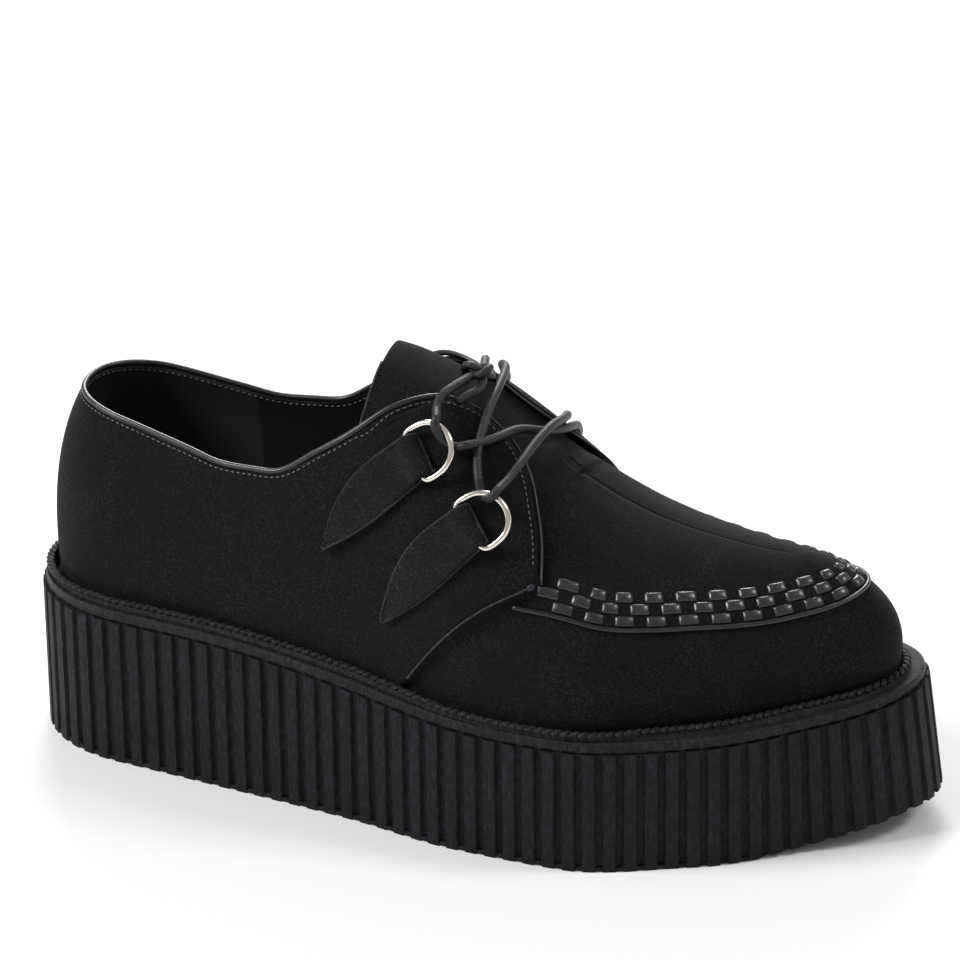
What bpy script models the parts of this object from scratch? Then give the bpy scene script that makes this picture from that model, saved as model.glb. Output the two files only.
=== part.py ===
"""Creeper shoe, right foot: suede upper on a thick ribbed platform, with ringed tabs and a cord lace.

Metres, +Z up, +X to the toe. The lateral side, on the outside of the foot, is at -Y.
The origin is at the bottom centre of the shoe's box.
"""
import bpy
import bmesh
import numpy as np
from math import acos, ceil, cos, pi, radians, sin
from mathutils import Vector
from mathutils.geometry import delaunay_2d_cdt

# Driving sizes of the sole
SOLE_LENGTH = 0.305
BALL_WIDTH = 0.1204
HEEL_HEIGHT = 0.052
BALL_HEIGHT = 0.042
TOE_SPRING = 0.010
TOE_FLARE = 0.0055
RIB_PITCH = 0.00676
RIB_DEPTH = 0.0012
WELT_WIDTH = 0.0085
WELT_SETBACK = 0.0006
WELT_HEIGHT = 0.0038
WELT_RIDGE_HEIGHT = 0.0021
INSOLE_THICKNESS = 0.0030

# Driving sizes of the upper
INSTEP_HEIGHT = 0.1015
TOE_SWELL = 0.0055
UPPER_WALL = 0.0017
QUARTER_STEP = 0.0022
TONGUE_WALL = 0.0018
PIPING_RADIUS = 0.0010
APRON_PIPING_RADIUS = 0.0009
WEAVE_STRIP = 0.0042
WEAVE_PITCH = 0.0106
WEAVE_WALL = 0.0007
WEAVE_RISE = 0.0008

# Driving sizes of the fastening
TAB_LENGTH = 0.046
TAB_WIDTH = 0.0165
TAB_WALL = 0.0014
RING_WIDTH = 0.0178
RING_DEPTH = 0.0140
RING_WIRE = 0.0023
LACE_DIAMETER = 0.0030

# Clearances between pieces that touch on the real shoe
GAP = 0.0003
CURVED_GAP = 0.0005


def table(columns, *rows):
    """Rows under named columns, kept as one list for each name."""
    return dict(zip(columns.split(), zip(*rows)))


# Plan of the sole: each half width is a share of the ball width
PLAN = table(
    "along lateral medial",
    (0.00, 0.283, 0.316),
    (0.12, 0.323, 0.328),
    (0.25, 0.370, 0.322),
    (0.42, 0.436, 0.352),
    (0.55, 0.507, 0.412),
    (0.67, 0.522, 0.470),
    (0.80, 0.399, 0.450),
    (0.92, 0.241, 0.402),
    (1.00, 0.207, 0.385),
)
HEEL_ROUND = 0.13
TOE_ROUND = 0.20
ROUND_POWER = 2.2

# Side view of the sole, as shares along: its top slopes down from heel to ball, its underside
# springs up at the toe, and its side leans out there
SLOPE_START = 0.22
SLOPE_END = 0.62
SPRING_START = 0.80
SPRING_OF_TOP = 0.70
FLARE_START = 0.75

# Width of the welt that shows round the upper, as a share of the welt width
MARGIN = table(
    "along lateral medial",
    (0.00, 0.65, 0.65),
    (0.10, 0.94, 0.94),
    (0.42, 1.00, 1.00),
    (0.60, 0.59, 0.80),
    (0.68, 0.65, 0.85),
    (0.80, 1.06, 1.20),
    (0.92, 1.30, 1.50),
    (1.00, 1.30, 1.40),
)

# Ridge of the last: height over the platform as a share of the instep, place across as a share
# of the ball width, fullness of the section, and swell of its side as a share of the toe's
RIDGE = table(
    "along height across fullness swell",
    (0.00, 0.847, 0.000, 2.4, 0.36),
    (0.15, 0.867, -0.008, 2.4, 0.36),
    (0.30, 0.970, -0.017, 2.4, 0.18),
    (0.43, 1.000, -0.017, 2.5, 0.00),
    (0.50, 0.946, -0.017, 2.5, 0.00),
    (0.57, 0.823, -0.017, 2.4, 0.10),
    (0.63, 0.690, -0.008, 2.2, 0.27),
    (0.70, 0.582, 0.000, 2.1, 0.55),
    (0.80, 0.506, 0.022, 2.0, 0.85),
    (0.87, 0.474, 0.045, 2.0, 1.00),
    (1.00, 0.474, 0.060, 2.0, 1.00),
)
SPINE_START = 0.148
SPINE_END = 0.859
CLIMB_POWER = 1.25

# Edge of the opening: how far up the section it runs, along the collar and down the flap
OPENING = table(
    "along climb",
    (0.000, 0.614),
    (0.154, 0.564),
    (0.254, 0.464),
    (0.309, 0.457),
    (0.340, 0.495),
    (0.378, 0.562),
    (0.406, 0.620),
    (0.440, 0.728),
    (0.480, 0.850),
    (0.514, 0.899),
    (0.538, 0.904),
    (0.564, 0.886),
    (0.586, 0.833),
    (0.607, 0.719),
    (0.618, 0.640),
    (0.625, 0.546),
)
FLAP_STOPS = (0.480, 0.514, 0.540, 0.565, 0.586, 0.603, 0.616, 0.625)
QUARTER_FOOT = 0.461
QUARTER_RISE_START = 0.20
QUARTER_RISE_END = 0.42
VAMP_START = 0.628
VAMP_FOOT = 0.464

# Seam of the apron: how far up the section it runs, from the quarter to the toe
APRON = table(
    "along climb",
    (0.600, 0.340),
    (0.658, 0.470),
    (0.706, 0.504),
    (0.751, 0.520),
    (0.821, 0.560),
    (0.906, 0.592),
    (1.000, 0.645),
)

# Rows of the upper's wall: share of the way to the seam, and past it to the ridge
ROWS_TO_SEAM = (0.0, 0.11, 0.235, 0.365, 0.495, 0.625, 0.75, 0.875, 1.0)
ROWS_PAST_SEAM = (0.072, 0.145, 0.217, 0.33, 0.45, 0.58, 0.72, 0.86, 1.0)
SEAM_OF_OPENING = 0.77
EDGE_ROWS = 3

# The quarter's step is drawn in where it goes down behind the welt
FOOT_LIFT = 0.45
FOOT_CLIMB = 0.08

LATERAL, MEDIAL = -1, 1


def smooth(rows, column, along):
    """A curve through one column of a table, over its first column, that never overshoots."""
    xs, ys = rows["along"], rows[column]
    along = min(max(along, xs[0]), xs[-1])
    last_span = len(xs) - 2
    k = max(i for i in range(last_span + 1) if xs[i] <= along)
    rates = [(ys[i + 1] - ys[i]) / (xs[i + 1] - xs[i]) for i in range(last_span + 1)]

    def slope(i):
        if i == 0 or i == last_span + 1:
            return rates[min(i, last_span)]
        a, b = rates[i - 1], rates[i]
        return 2 * a * b / (a + b) if a * b > 0 else 0.0

    span = xs[k + 1] - xs[k]
    t = (along - xs[k]) / span
    value = (1 + 2 * t) * (1 - t) ** 2 * ys[k] + t * t * (3 - 2 * t) * ys[k + 1]
    return value + span * (t * (1 - t) ** 2 * slope(k) + t * t * (t - 1) * slope(k + 1))


def ease(t):
    t = min(max(t, 0.0), 1.0)
    return t * t * (3 - 2 * t)


def mix(a, b, t):
    return a + (b - a) * t


def turn_of(along):
    """Stations are spread by a turn from 0 to 1, which is closer together at heel and toe."""
    return acos(1 - 2 * min(max(along, 0.0), 1.0)) / pi


def along_of(turn):
    return (1 - cos(pi * turn)) / 2


def end_rounding(along):
    room = 1.0
    if along < HEEL_ROUND:
        room = (1 - abs(1 - along / HEEL_ROUND) ** ROUND_POWER) ** (1 / ROUND_POWER)
    if along > 1 - TOE_ROUND:
        room = (1 - abs(1 - (1 - along) / TOE_ROUND) ** ROUND_POWER) ** (1 / ROUND_POWER)
    return room


def raw_plan(turn, side):
    along = along_of(turn)
    lateral = smooth(PLAN, "lateral", along)
    medial = smooth(PLAN, "medial", along)
    across = (medial - lateral) / 2 + side * (medial + lateral) / 2 * end_rounding(along)
    return Vector((along * SOLE_LENGTH, across * BALL_WIDTH))


# The shoe's box is centred on the origin, in length with the toe's flare and in width
SIDE_SAMPLES = [raw_plan(i / 400, side).y for i in range(401) for side in (LATERAL, MEDIAL)]
X_MIDDLE = (SOLE_LENGTH + TOE_FLARE) / 2
Y_MIDDLE = (min(SIDE_SAMPLES) + max(SIDE_SAMPLES)) / 2


def plan(turn, side):
    return raw_plan(turn, side) - Vector((X_MIDDLE, Y_MIDDLE))


def along_at(x):
    return (x + X_MIDDLE) / SOLE_LENGTH


def inset_plan(turn, side, inset):
    """A point of the sole's outline, moved in along the outline's normal."""
    step = 0.002
    ahead = plan(min(turn + step, 1), side)
    behind = plan(max(turn - step, 0), side)
    run = (ahead - behind).normalized()
    if turn < step or turn > 1 - step:
        run = Vector((0, side if turn < 0.5 else -side))
    return plan(turn, side) + Vector((run.y, -run.x)) * side * inset


def floor_line(along):
    """Underside of the sole: flat up to the start of the toe's spring."""
    return TOE_SPRING * max(0.0, (along - SPRING_START) / (1 - SPRING_START)) ** 2


def platform_top(along):
    slope = (along - SLOPE_START) / (SLOPE_END - SLOPE_START)
    return mix(HEEL_HEIGHT, BALL_HEIGHT, ease(slope)) + SPRING_OF_TOP * floor_line(along)


def margin(turn, side):
    return WELT_WIDTH * smooth(MARGIN, "lateral" if side == LATERAL else "medial", along_of(turn))


def last(turn, climb, side):
    """A point of the upper's outer face: turn runs heel to toe, climb from the welt to the ridge."""
    foot = inset_plan(turn, side, margin(turn, side))
    along = along_at(foot.x)
    spine = min(max(along, SPINE_START), SPINE_END)
    top = Vector((spine * SOLE_LENGTH - X_MIDDLE, smooth(RIDGE, "across", spine) * BALL_WIDTH - Y_MIDDLE))
    base = platform_top(along)
    height = platform_top(spine) + smooth(RIDGE, "height", spine) * INSTEP_HEIGHT - base
    fullness = smooth(RIDGE, "fullness", along)
    angle = max(climb, 0.0) ** CLIMB_POWER * pi / 2
    inward = 1 - max(cos(angle), 0.0) ** (2 / fullness)
    upward = sin(angle) ** (2 / fullness)
    swell = TOE_SWELL * smooth(RIDGE, "swell", along) * sin(pi * min(upward, 1.0))
    way = top - foot
    point = foot + way * inward - way.normalized() * swell
    return Vector((point.x, point.y, base + GAP + (height - GAP) * upward))


def skin(turn, climb, side, lift=0.0):
    """The outer face again, moved out along its own normal."""
    point = last(turn, climb, side)
    if lift == 0.0:
        return point
    step = 0.004
    t0, t1 = max(turn - step, 0), min(turn + step, 1)
    c0, c1 = max(climb - step, 0.001), min(climb + step, 0.999)
    run = last(t1, climb, side) - last(t0, climb, side)
    rise = last(turn, c1, side) - last(turn, c0, side)
    if turn < step or turn > 1 - step:
        run = Vector((0, side if turn < 0.5 else -side, 0))
    if climb > 0.999:
        return point + Vector((0, 0, lift))
    return point + run.cross(rise).normalized() * (lift * -side)


def quarter_lift(turn):
    """The quarter lies over the vamp: its face comes forward towards the flap."""
    share = (along_of(turn) - QUARTER_RISE_START) / (QUARTER_RISE_END - QUARTER_RISE_START)
    return QUARTER_STEP * ease(share)


def start_scene():
    for item in list(bpy.data.objects):
        bpy.data.objects.remove(item, do_unlink=True)
    shoe = bpy.data.collections.new("creeper_shoe")
    bpy.context.scene.collection.children.link(shoe)
    return shoe


SHOE = start_scene()


def material(name, colour, roughness, metallic=0.0):
    made = bpy.data.materials.new(name)
    made.use_nodes = True
    shader = made.node_tree.nodes["Principled BSDF"]
    shader.inputs["Base Color"].default_value = (*colour, 1.0)
    shader.inputs["Roughness"].default_value = roughness
    shader.inputs["Metallic"].default_value = metallic
    return made


def add_object(name, data, finish):
    colour, roughness, metallic = finish
    item = bpy.data.objects.new(name, data)
    data.materials.append(material(name, colour, roughness, metallic))
    SHOE.objects.link(item)
    return item


SUEDE = ((0.010, 0.010, 0.012), 0.95, 0.0)
RUBBER = ((0.028, 0.033, 0.038), 0.75, 0.0)
WELT_RUBBER = ((0.035, 0.038, 0.042), 0.65, 0.0)
INSOLE_LINING = ((0.62, 0.58, 0.50), 0.85, 0.0)
PATENT = ((0.012, 0.012, 0.014), 0.25, 0.0)
STRIP = ((0.035, 0.042, 0.052), 0.40, 0.0)
CORD = ((0.020, 0.024, 0.030), 0.60, 0.0)
NICKEL = ((0.78, 0.76, 0.72), 0.18, 1.0)


def mesh_object(name, bm, finish, smooth_angle=0.7):
    bmesh.ops.recalc_face_normals(bm, faces=bm.faces)
    data = bpy.data.meshes.new(name)
    bm.to_mesh(data)
    bm.free()
    item = add_object(name, data, finish)
    data.shade_smooth()
    data.set_sharp_from_angle(angle=smooth_angle)
    return item


def sheet_mesh(grid):
    """A bmesh of quads over rows of points; None leaves a hole, and equal points are merged."""
    bm = bmesh.new()
    corners = [[None if p is None else bm.verts.new(p) for p in row] for row in grid]
    for near, far in zip(corners, corners[1:]):
        for a, b, c, d in zip(near, near[1:], far[1:], far):
            if None not in (a, b, c, d):
                bm.faces.new((a, b, c, d))
    bmesh.ops.remove_doubles(bm, verts=bm.verts, dist=0.00002)
    return bm


def solidify(item, wall, offset=-1.0):
    shell = item.modifiers.new("wall", "SOLIDIFY")
    shell.thickness = wall
    shell.offset = offset
    shell.use_even_offset = True
    return item


def face_outwards(bm, inside):
    """Turn an open sheet so that its faces look away from a point inside the shoe."""
    bmesh.ops.recalc_face_normals(bm, faces=bm.faces)
    vote = sum((f.calc_center_median() - inside).dot(f.normal) * f.calc_area() for f in bm.faces)
    if vote < 0:
        bmesh.ops.reverse_faces(bm, faces=bm.faces)


def tube(name, points, radius, finish, closed=False, resolution=2):
    curve = bpy.data.curves.new(name, "CURVE")
    curve.dimensions = "3D"
    curve.bevel_depth = radius
    curve.bevel_resolution = resolution
    curve.use_fill_caps = not closed
    spline = curve.splines.new("POLY")
    spline.points.add(len(points) - 1)
    for slot, point in zip(spline.points, points):
        slot.co = (*point, 1.0)
    spline.use_cyclic_u = closed
    return add_object(name, curve, finish)


def through(points, step):
    """A smooth curve through chosen points, sampled about every step metres."""
    pts = [Vector(p) for p in points]
    pts = [pts[0] * 2 - pts[1]] + pts + [pts[-1] * 2 - pts[-2]]
    out = []
    for a, b, c, d in zip(pts, pts[1:], pts[2:], pts[3:]):
        count = max(1, ceil((c - b).length / step))
        for i in range(count):
            t = i / count
            bend = t * (3 * b - a - 3 * c + d)
            out.append(b + 0.5 * t * (c - a + t * (2 * a - 5 * b + 4 * c - d + bend)))
    return out + [pts[-2]]


# Sole


def unrolled_outline(count=400):
    """Running length round the sole's outline, and the turn at each: 0 to 1 lateral, 1 to 2 medial."""
    turns = [i / count for i in range(2 * count + 1)]
    spots = [plan(min(t, 2 - t), LATERAL if t <= 1 else MEDIAL) for t in turns]
    run = [0.0]
    for a, b in zip(spots, spots[1:]):
        run.append(run[-1] + (b - a).length)
    return run, turns


OUTLINE_RUN, OUTLINE_TURNS = unrolled_outline()


def station(share):
    """The turn and side at a share of the whole outline, so that equal shares are equal lengths."""
    unrolled = float(np.interp((share % 1.0) * OUTLINE_RUN[-1], OUTLINE_RUN, OUTLINE_TURNS))
    return (unrolled, LATERAL) if unrolled <= 1 else (2 - unrolled, MEDIAL)


CAP_PITCH = 0.012
CAP_SHARES = (0.16, 0.5, 0.84)


def cap_ring(bm, ring, height):
    """Close a ring with triangles that follow a height that changes along the shoe."""
    flat = [Vector((v.co.x, v.co.y)) for v in ring]
    inner = []
    x = min(p.x for p in flat) + CAP_PITCH
    while x < max(p.x for p in flat) - CAP_PITCH / 2:
        cuts = []
        for a, b in zip(flat, flat[1:] + flat[:1]):
            if (a.x - x) * (b.x - x) < 0:
                cuts.append(mix(a.y, b.y, (x - a.x) / (b.x - a.x)))
        inner += [Vector((x, mix(min(cuts), max(cuts), share))) for share in CAP_SHARES]
        x += CAP_PITCH
    edges = [(i, (i + 1) % len(ring)) for i in range(len(ring))]
    spots, _, faces, origins, _, _ = delaunay_2d_cdt(flat + inner, edges, [], 1, 1e-7)
    made = []
    for spot, origin in zip(spots, origins):
        on_ring = [i for i in origin if i < len(ring)]
        if on_ring:
            made.append(ring[on_ring[0]])
        else:
            made.append(bm.verts.new((spot.x, spot.y, height(along_at(spot.x)))))
    for face in faces:
        bm.faces.new([made[i] for i in face])


def side_wall(bm, lower, upper):
    for i in range(len(lower)):
        k = (i + 1) % len(lower)
        bm.faces.new((lower[i], lower[k], upper[k], upper[i]))


# A rib's corners as shares of the pitch, with the depth of each as a share of the rib's
RIB = table(
    "share depth",
    (0.10, 0.0),
    (0.66, 0.0),
    (0.76, 1.0),
    (1.00, 1.0),
)


def build_sole():
    """The ribbed platform, from the floor to the welt, in one piece of rubber."""
    ribs = int(round(OUTLINE_RUN[-1] / RIB_PITCH))
    bm = bmesh.new()
    lower, upper = [], []
    for rib in range(ribs):
        for share, depth in zip(*RIB.values()):
            turn, side = station((rib + share) / ribs)
            spot = inset_plan(turn, side, RIB_DEPTH * depth)
            along = along_at(spot.x)
            flare = TOE_FLARE * max(0.0, (along_of(turn) - FLARE_START) / (1 - FLARE_START)) ** 2
            foot = spot.x + flare
            lower.append(bm.verts.new((foot, spot.y, floor_line(min(along_at(foot), 1.0)))))
            upper.append(bm.verts.new((spot.x, spot.y, platform_top(along))))
    side_wall(bm, lower, upper)
    cap_ring(bm, lower, lambda along: floor_line(min(along, 1.0)))
    cap_ring(bm, upper, platform_top)
    return mesh_object("sole", bm, RUBBER, 0.3)


# Section of the welt, outer edge to inner edge: share across, height as shares of welt and ridge
WELT_SECTION = table(
    "across height ridge",
    (0.00, 0.00, 0.0),
    (0.00, 0.70, 0.0),
    (0.09, 0.97, 0.0),
    (0.50, 1.00, 0.0),
    (0.60, 1.00, 0.65),
    (0.76, 1.00, 1.00),
    (0.92, 1.00, 0.60),
    (1.00, 0.75, 0.0),
    (1.00, 0.00, 0.0),
)
WELT_STATIONS = 60
UPPER_CLEARANCE = 0.0022


def build_welt():
    """The strip round the top of the platform, with its sewn ridge against the upper."""
    bm = bmesh.new()
    rings = []
    for i in range(WELT_STATIONS):
        turn, side = station(i / WELT_STATIONS)
        inner = margin(turn, side) - UPPER_CLEARANCE
        ring = []
        for across, height, ridge in zip(*WELT_SECTION.values()):
            spot = inset_plan(turn, side, mix(WELT_SETBACK, inner, across))
            lift = GAP + WELT_HEIGHT * height + WELT_RIDGE_HEIGHT * ridge
            ring.append(bm.verts.new((spot.x, spot.y, platform_top(along_at(spot.x)) + lift)))
        rings.append(ring)
    for i in range(WELT_STATIONS):
        side_wall(bm, rings[i], rings[(i + 1) % WELT_STATIONS])
    return mesh_object("welt", bm, WELT_RUBBER, 0.6)


INSOLE_STATIONS = 50


def build_insole():
    """The thin sock inside, cut to the inner face of the upper."""
    bm = bmesh.new()
    lower, upper = [], []
    for i in range(INSOLE_STATIONS):
        turn, side = station(i / INSOLE_STATIONS)
        spot = inset_plan(turn, side, margin(turn, side) + UPPER_WALL + 3 * CURVED_GAP)
        base = platform_top(along_at(spot.x)) + GAP
        lower.append(bm.verts.new((spot.x, spot.y, base)))
        upper.append(bm.verts.new((spot.x, spot.y, base + INSOLE_THICKNESS)))
    side_wall(bm, lower, upper)
    cap_ring(bm, lower, lambda along: platform_top(along) + GAP)
    cap_ring(bm, upper, lambda along: platform_top(along) + GAP + INSOLE_THICKNESS)
    return mesh_object("insole", bm, INSOLE_LINING, 0.6)


# Upper

HEEL_STEPS = 6
COLLAR_STEPS = 7
HEEL_END = 0.206
VAMP_STEPS = 8
FAN_STEPS = 5


def rear_columns():
    """Foot and top turns of the wall's lines, from the heel round to the front of the flap."""
    tops = [turn_of(HEEL_END) * i / HEEL_STEPS for i in range(HEEL_STEPS)]
    tops += [turn_of(mix(HEEL_END, FLAP_STOPS[0], i / COLLAR_STEPS)) for i in range(COLLAR_STEPS)]
    tops += [turn_of(along) for along in FLAP_STOPS]
    feet = []
    for i, top in enumerate(tops):
        past = max(0, i - HEEL_STEPS) / (len(tops) - 1 - HEEL_STEPS)
        feet.append(top if i <= HEEL_STEPS else turn_of(mix(HEEL_END, QUARTER_FOOT, past)))
    return list(zip(feet, tops))


def front_columns():
    """Foot and top turns of the vamp's lines, from the flap round to the tip of the toe."""
    steps = VAMP_STEPS + FAN_STEPS
    out = []
    for i in range(steps + 1):
        share = i / steps
        foot = mix(turn_of(VAMP_FOOT), 1.0, share)
        top = mix(turn_of(VAMP_START), 1.0, share)
        out.append((foot, top))
    return out


REAR = rear_columns()
FRONT = front_columns()


def rear_rows(top_turn):
    edge = smooth(OPENING, "climb", along_of(top_turn))
    seam = edge * SEAM_OF_OPENING
    past = [mix(seam, edge, (k + 1) / EDGE_ROWS) for k in range(EDGE_ROWS)]
    return [seam * row for row in ROWS_TO_SEAM] + past, edge


def front_rows(top_turn):
    seam = smooth(APRON, "climb", along_of(top_turn))
    past = [mix(seam, 1.0, row) for row in ROWS_PAST_SEAM]
    return [seam * row for row in ROWS_TO_SEAM] + past, mix(seam, 1.0, ROWS_PAST_SEAM[EDGE_ROWS - 1])


def wall_line(foot, top, rows, slant_end, side, lift):
    """One line of the wall from the welt up; it slants from its foot's turn to its top's."""
    out = []
    for climb in rows:
        turn = mix(foot, top, min(climb / slant_end, 1.0))
        fade = mix(FOOT_LIFT, 1.0, min(climb / FOOT_CLIMB, 1.0))
        out.append(skin(turn, climb, side, lift * fade))
    return out


def upper_grid():
    """Lines of points round the whole upper; the quarters' lines stop at the opening."""
    longest = len(ROWS_TO_SEAM) + len(ROWS_PAST_SEAM)
    halves = {}
    for side in (LATERAL, MEDIAL):
        lines = []
        for foot, top in REAR:
            rows, edge = rear_rows(top)
            line = wall_line(foot, top, rows, edge, side, quarter_lift(top))
            lines.append(line + [None] * (longest - len(line)))
        for foot, top in FRONT:
            rows, edge = front_rows(top)
            lines.append(wall_line(foot, top, rows, edge, side, 0.0))
        halves[side] = lines
    return halves[LATERAL] + halves[MEDIAL][-2:0:-1] + halves[LATERAL][:1]


INSIDE = Vector((0.0, 0.0, HEEL_HEIGHT + INSTEP_HEIGHT / 2))


def build_upper():
    """Vamp, apron and quarters as one hollow wall, open at collar, throat and underneath."""
    bm = sheet_mesh(upper_grid())
    face_outwards(bm, INSIDE)
    data = bpy.data.meshes.new("upper")
    bm.to_mesh(data)
    bm.free()
    upper = add_object("upper", data, SUEDE)
    data.shade_smooth()
    data.set_sharp_from_angle(angle=0.7)
    return solidify(upper, UPPER_WALL)


# Tongue: its lines across, as shares of the width under the flaps
TONGUE_START = 0.4115
TONGUE_DROP = 0.0012
TONGUE_ARCH = 0.006
TONGUE_FALL = 0.03
TONGUE_RISE = 0.0022
TONGUE_RISE_RUN = 0.045
TONGUE_STATIONS = 12
TONGUE_ACROSS = (0.0, 0.16, 0.34, 0.52, 0.68, 0.84, 1.0)
TONGUE_SIDE = table(
    "along climb",
    (0.400, 0.66),
    (0.430, 0.58),
    (0.500, 0.56),
    (0.560, 0.53),
    (0.600, 0.51),
    (0.612, 0.54),
    (0.626, 0.58),
)


def build_tongue():
    """The tongue, level with the apron that it butts against, under both flaps."""
    end = VAMP_START - 2 * CURVED_GAP / SOLE_LENGTH
    lines = []
    for i in range(TONGUE_STATIONS + 1):
        along = mix(TONGUE_START, end, i / TONGUE_STATIONS)
        drop = TONGUE_DROP * ease((end - along) / TONGUE_FALL)
        rise = TONGUE_RISE * (1 - ease((along - TONGUE_START) / TONGUE_RISE_RUN))
        line = []
        for side in (LATERAL, MEDIAL):
            half = []
            for share in TONGUE_ACROSS:
                back = TONGUE_ARCH * (1 - share) ** 2 * (1 - i / TONGUE_STATIONS) ** 3
                climb = mix(smooth(TONGUE_SIDE, "climb", along), 1.0, share)
                half.append(skin(turn_of(along - back), climb, side, rise * share ** 3 - drop))
            line += half if side == LATERAL else half[-2::-1]
        lines.append(line)
    bm = sheet_mesh(lines)
    face_outwards(bm, INSIDE)
    data = bpy.data.meshes.new("tongue")
    bm.to_mesh(data)
    bm.free()
    tongue = add_object("tongue", data, SUEDE)
    data.shade_smooth()
    return solidify(tongue, TONGUE_WALL)


# Places and directions on the upper's face


def shift(turn, climb, side, move):
    """The turn and climb that lie a small move away, as a vector in metres, along the face."""
    step = 0.01
    here = last(turn, climb, side)
    run = (last(turn + step, climb, side) - last(turn - step, climb, side)) / (2 * step)
    rise = (last(turn, climb + step, side) - last(turn, climb - step, side)) / (2 * step)
    for _ in range(3):
        left = move - (last(turn, climb, side) - here)
        a, b, c = run.dot(run), run.dot(rise), rise.dot(rise)
        p, q = run.dot(left), rise.dot(left)
        room = a * c - b * b
        turn += (c * p - b * q) / room
        climb += (a * q - b * p) / room
    return turn, climb


def normal_at(turn, climb, side):
    return (skin(turn, climb, side, 0.001) - skin(turn, climb, side)).normalized()


def slanted(foot, top, climb):
    """The turn that a line of the vamp's wall has at a climb."""
    slant_end = front_rows(top)[1]
    return mix(foot, top, min(climb / slant_end, 1.0))


def walk_up(foot, top, side, climb, distance, step=0.01):
    """Follow a line of the wall up from a climb for a distance, and give the place reached."""
    here = last(slanted(foot, top, climb), climb, side)
    covered = 0.0
    while covered < distance:
        climb += step
        there = last(slanted(foot, top, climb), climb, side)
        covered += (there - here).length
        here = there
    before = climb - step
    last_step = (here - last(slanted(foot, top, before), before, side)).length
    climb -= step * (covered - distance) / last_step
    return slanted(foot, top, climb), climb


# Pipings


def build_topline_piping():
    """The glossy bead that binds the collar and the edges of both flaps."""
    spots, normals = [], []
    for side, columns in ((LATERAL, REAR[::-1]), (MEDIAL, REAR[1:])):
        for _, top in columns:
            edge = smooth(OPENING, "climb", along_of(top))
            spots.append(skin(top, edge, side, quarter_lift(top) - UPPER_WALL / 2))
            normals.append(normal_at(top, edge, side))
    path = []
    for i, (spot, normal) in enumerate(zip(spots, normals)):
        run = spots[min(i + 1, len(spots) - 1)] - spots[max(i - 1, 0)]
        path.append(spot + run.cross(normal).normalized() * (PIPING_RADIUS + GAP))
    return tube("topline_piping", path, PIPING_RADIUS, PATENT, resolution=1)


PIPING_START = 0.016


def seam_lines():
    """Foot turn, top turn and side of the lines round the apron, lateral flap to medial flap."""
    steps = VAMP_STEPS + FAN_STEPS
    shares = [PIPING_START] + [i / steps for i in range(1, steps + 1)]
    half = [(mix(turn_of(VAMP_FOOT), 1.0, s), mix(turn_of(VAMP_START), 1.0, s)) for s in shares]
    lateral = [(foot, top, LATERAL) for foot, top in half]
    medial = [(foot, top, MEDIAL) for foot, top in half[-2::-1]]
    return lateral + medial


def seam_climb(top):
    return smooth(APRON, "climb", along_of(top))


def build_apron_piping():
    """The bead on the seam between the apron and the wall of the vamp."""
    path = []
    for foot, top, side in seam_lines():
        climb = seam_climb(top)
        path.append(skin(slanted(foot, top, climb), climb, side, APRON_PIPING_RADIUS + CURVED_GAP))
    return tube("apron_piping", path, APRON_PIPING_RADIUS, PATENT, resolution=1)


WEAVE_START = 0.04
WEAVE_ROWS = 3
WEAVE_INSET = APRON_PIPING_RADIUS + 3 * CURVED_GAP
WEAVE_SAMPLES = 60


def build_woven_band():
    """The band of strips woven in and out of slits, inside the apron's seam, as one wall."""
    shares = [i / WEAVE_SAMPLES for i in range(WEAVE_SAMPLES)]
    shares = shares + [1.0] + shares[::-1]
    feet = [mix(turn_of(VAMP_FOOT), 1.0, mix(WEAVE_START, 1.0, s)) for s in shares]
    tops = [mix(turn_of(VAMP_START), 1.0, mix(WEAVE_START, 1.0, s)) for s in shares]
    sides = [LATERAL if i < WEAVE_SAMPLES else MEDIAL for i in range(len(shares))]
    run = [0.0]
    spots = [last(slanted(f, t, seam_climb(t)), seam_climb(t), s) for f, t, s in zip(feet, tops, sides)]
    for a, b in zip(spots, spots[1:]):
        run.append(run[-1] + (b - a).length)
    halves = int(run[-1] / (WEAVE_PITCH / 2))
    lines = []
    for j in range(halves + 1):
        distance = run[-1] * j / halves
        foot, top = float(np.interp(distance, run, feet)), float(np.interp(distance, run, tops))
        side = LATERAL if distance < run[WEAVE_SAMPLES] else MEDIAL
        line = []
        for row in range(WEAVE_ROWS + 1):
            inward = WEAVE_INSET + row * WEAVE_STRIP
            line.append(skin(*walk_up(foot, top, side, seam_climb(top), inward), side, 2 * CURVED_GAP))
        lines.append(line)
    bm = sheet_mesh(lines)
    face_outwards(bm, INSIDE)
    bm.faces.ensure_lookup_table()
    raised = [f for i, f in enumerate(bm.faces) if (i // WEAVE_ROWS + i % WEAVE_ROWS) % 2 == 0]
    bmesh.ops.inset_individual(bm, faces=raised, thickness=WEAVE_RISE / 2, depth=WEAVE_RISE)
    data = bpy.data.meshes.new("woven_band")
    bm.to_mesh(data)
    bm.free()
    return solidify(add_object("woven_band", data, STRIP), WEAVE_WALL, 1.0)


# Tabs and rings: the end that holds the ring, and the way that the tab runs from it to its tip
TABS = table(
    "name along climb toward_along toward_climb",
    ("upper", 0.4825, 0.654, 0.374, 0.288),
    ("lower", 0.5545, 0.580, 0.446, 0.158),
)

# The tabs sit lower on the medial side
MEDIAL_DROP = 0.12

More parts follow.
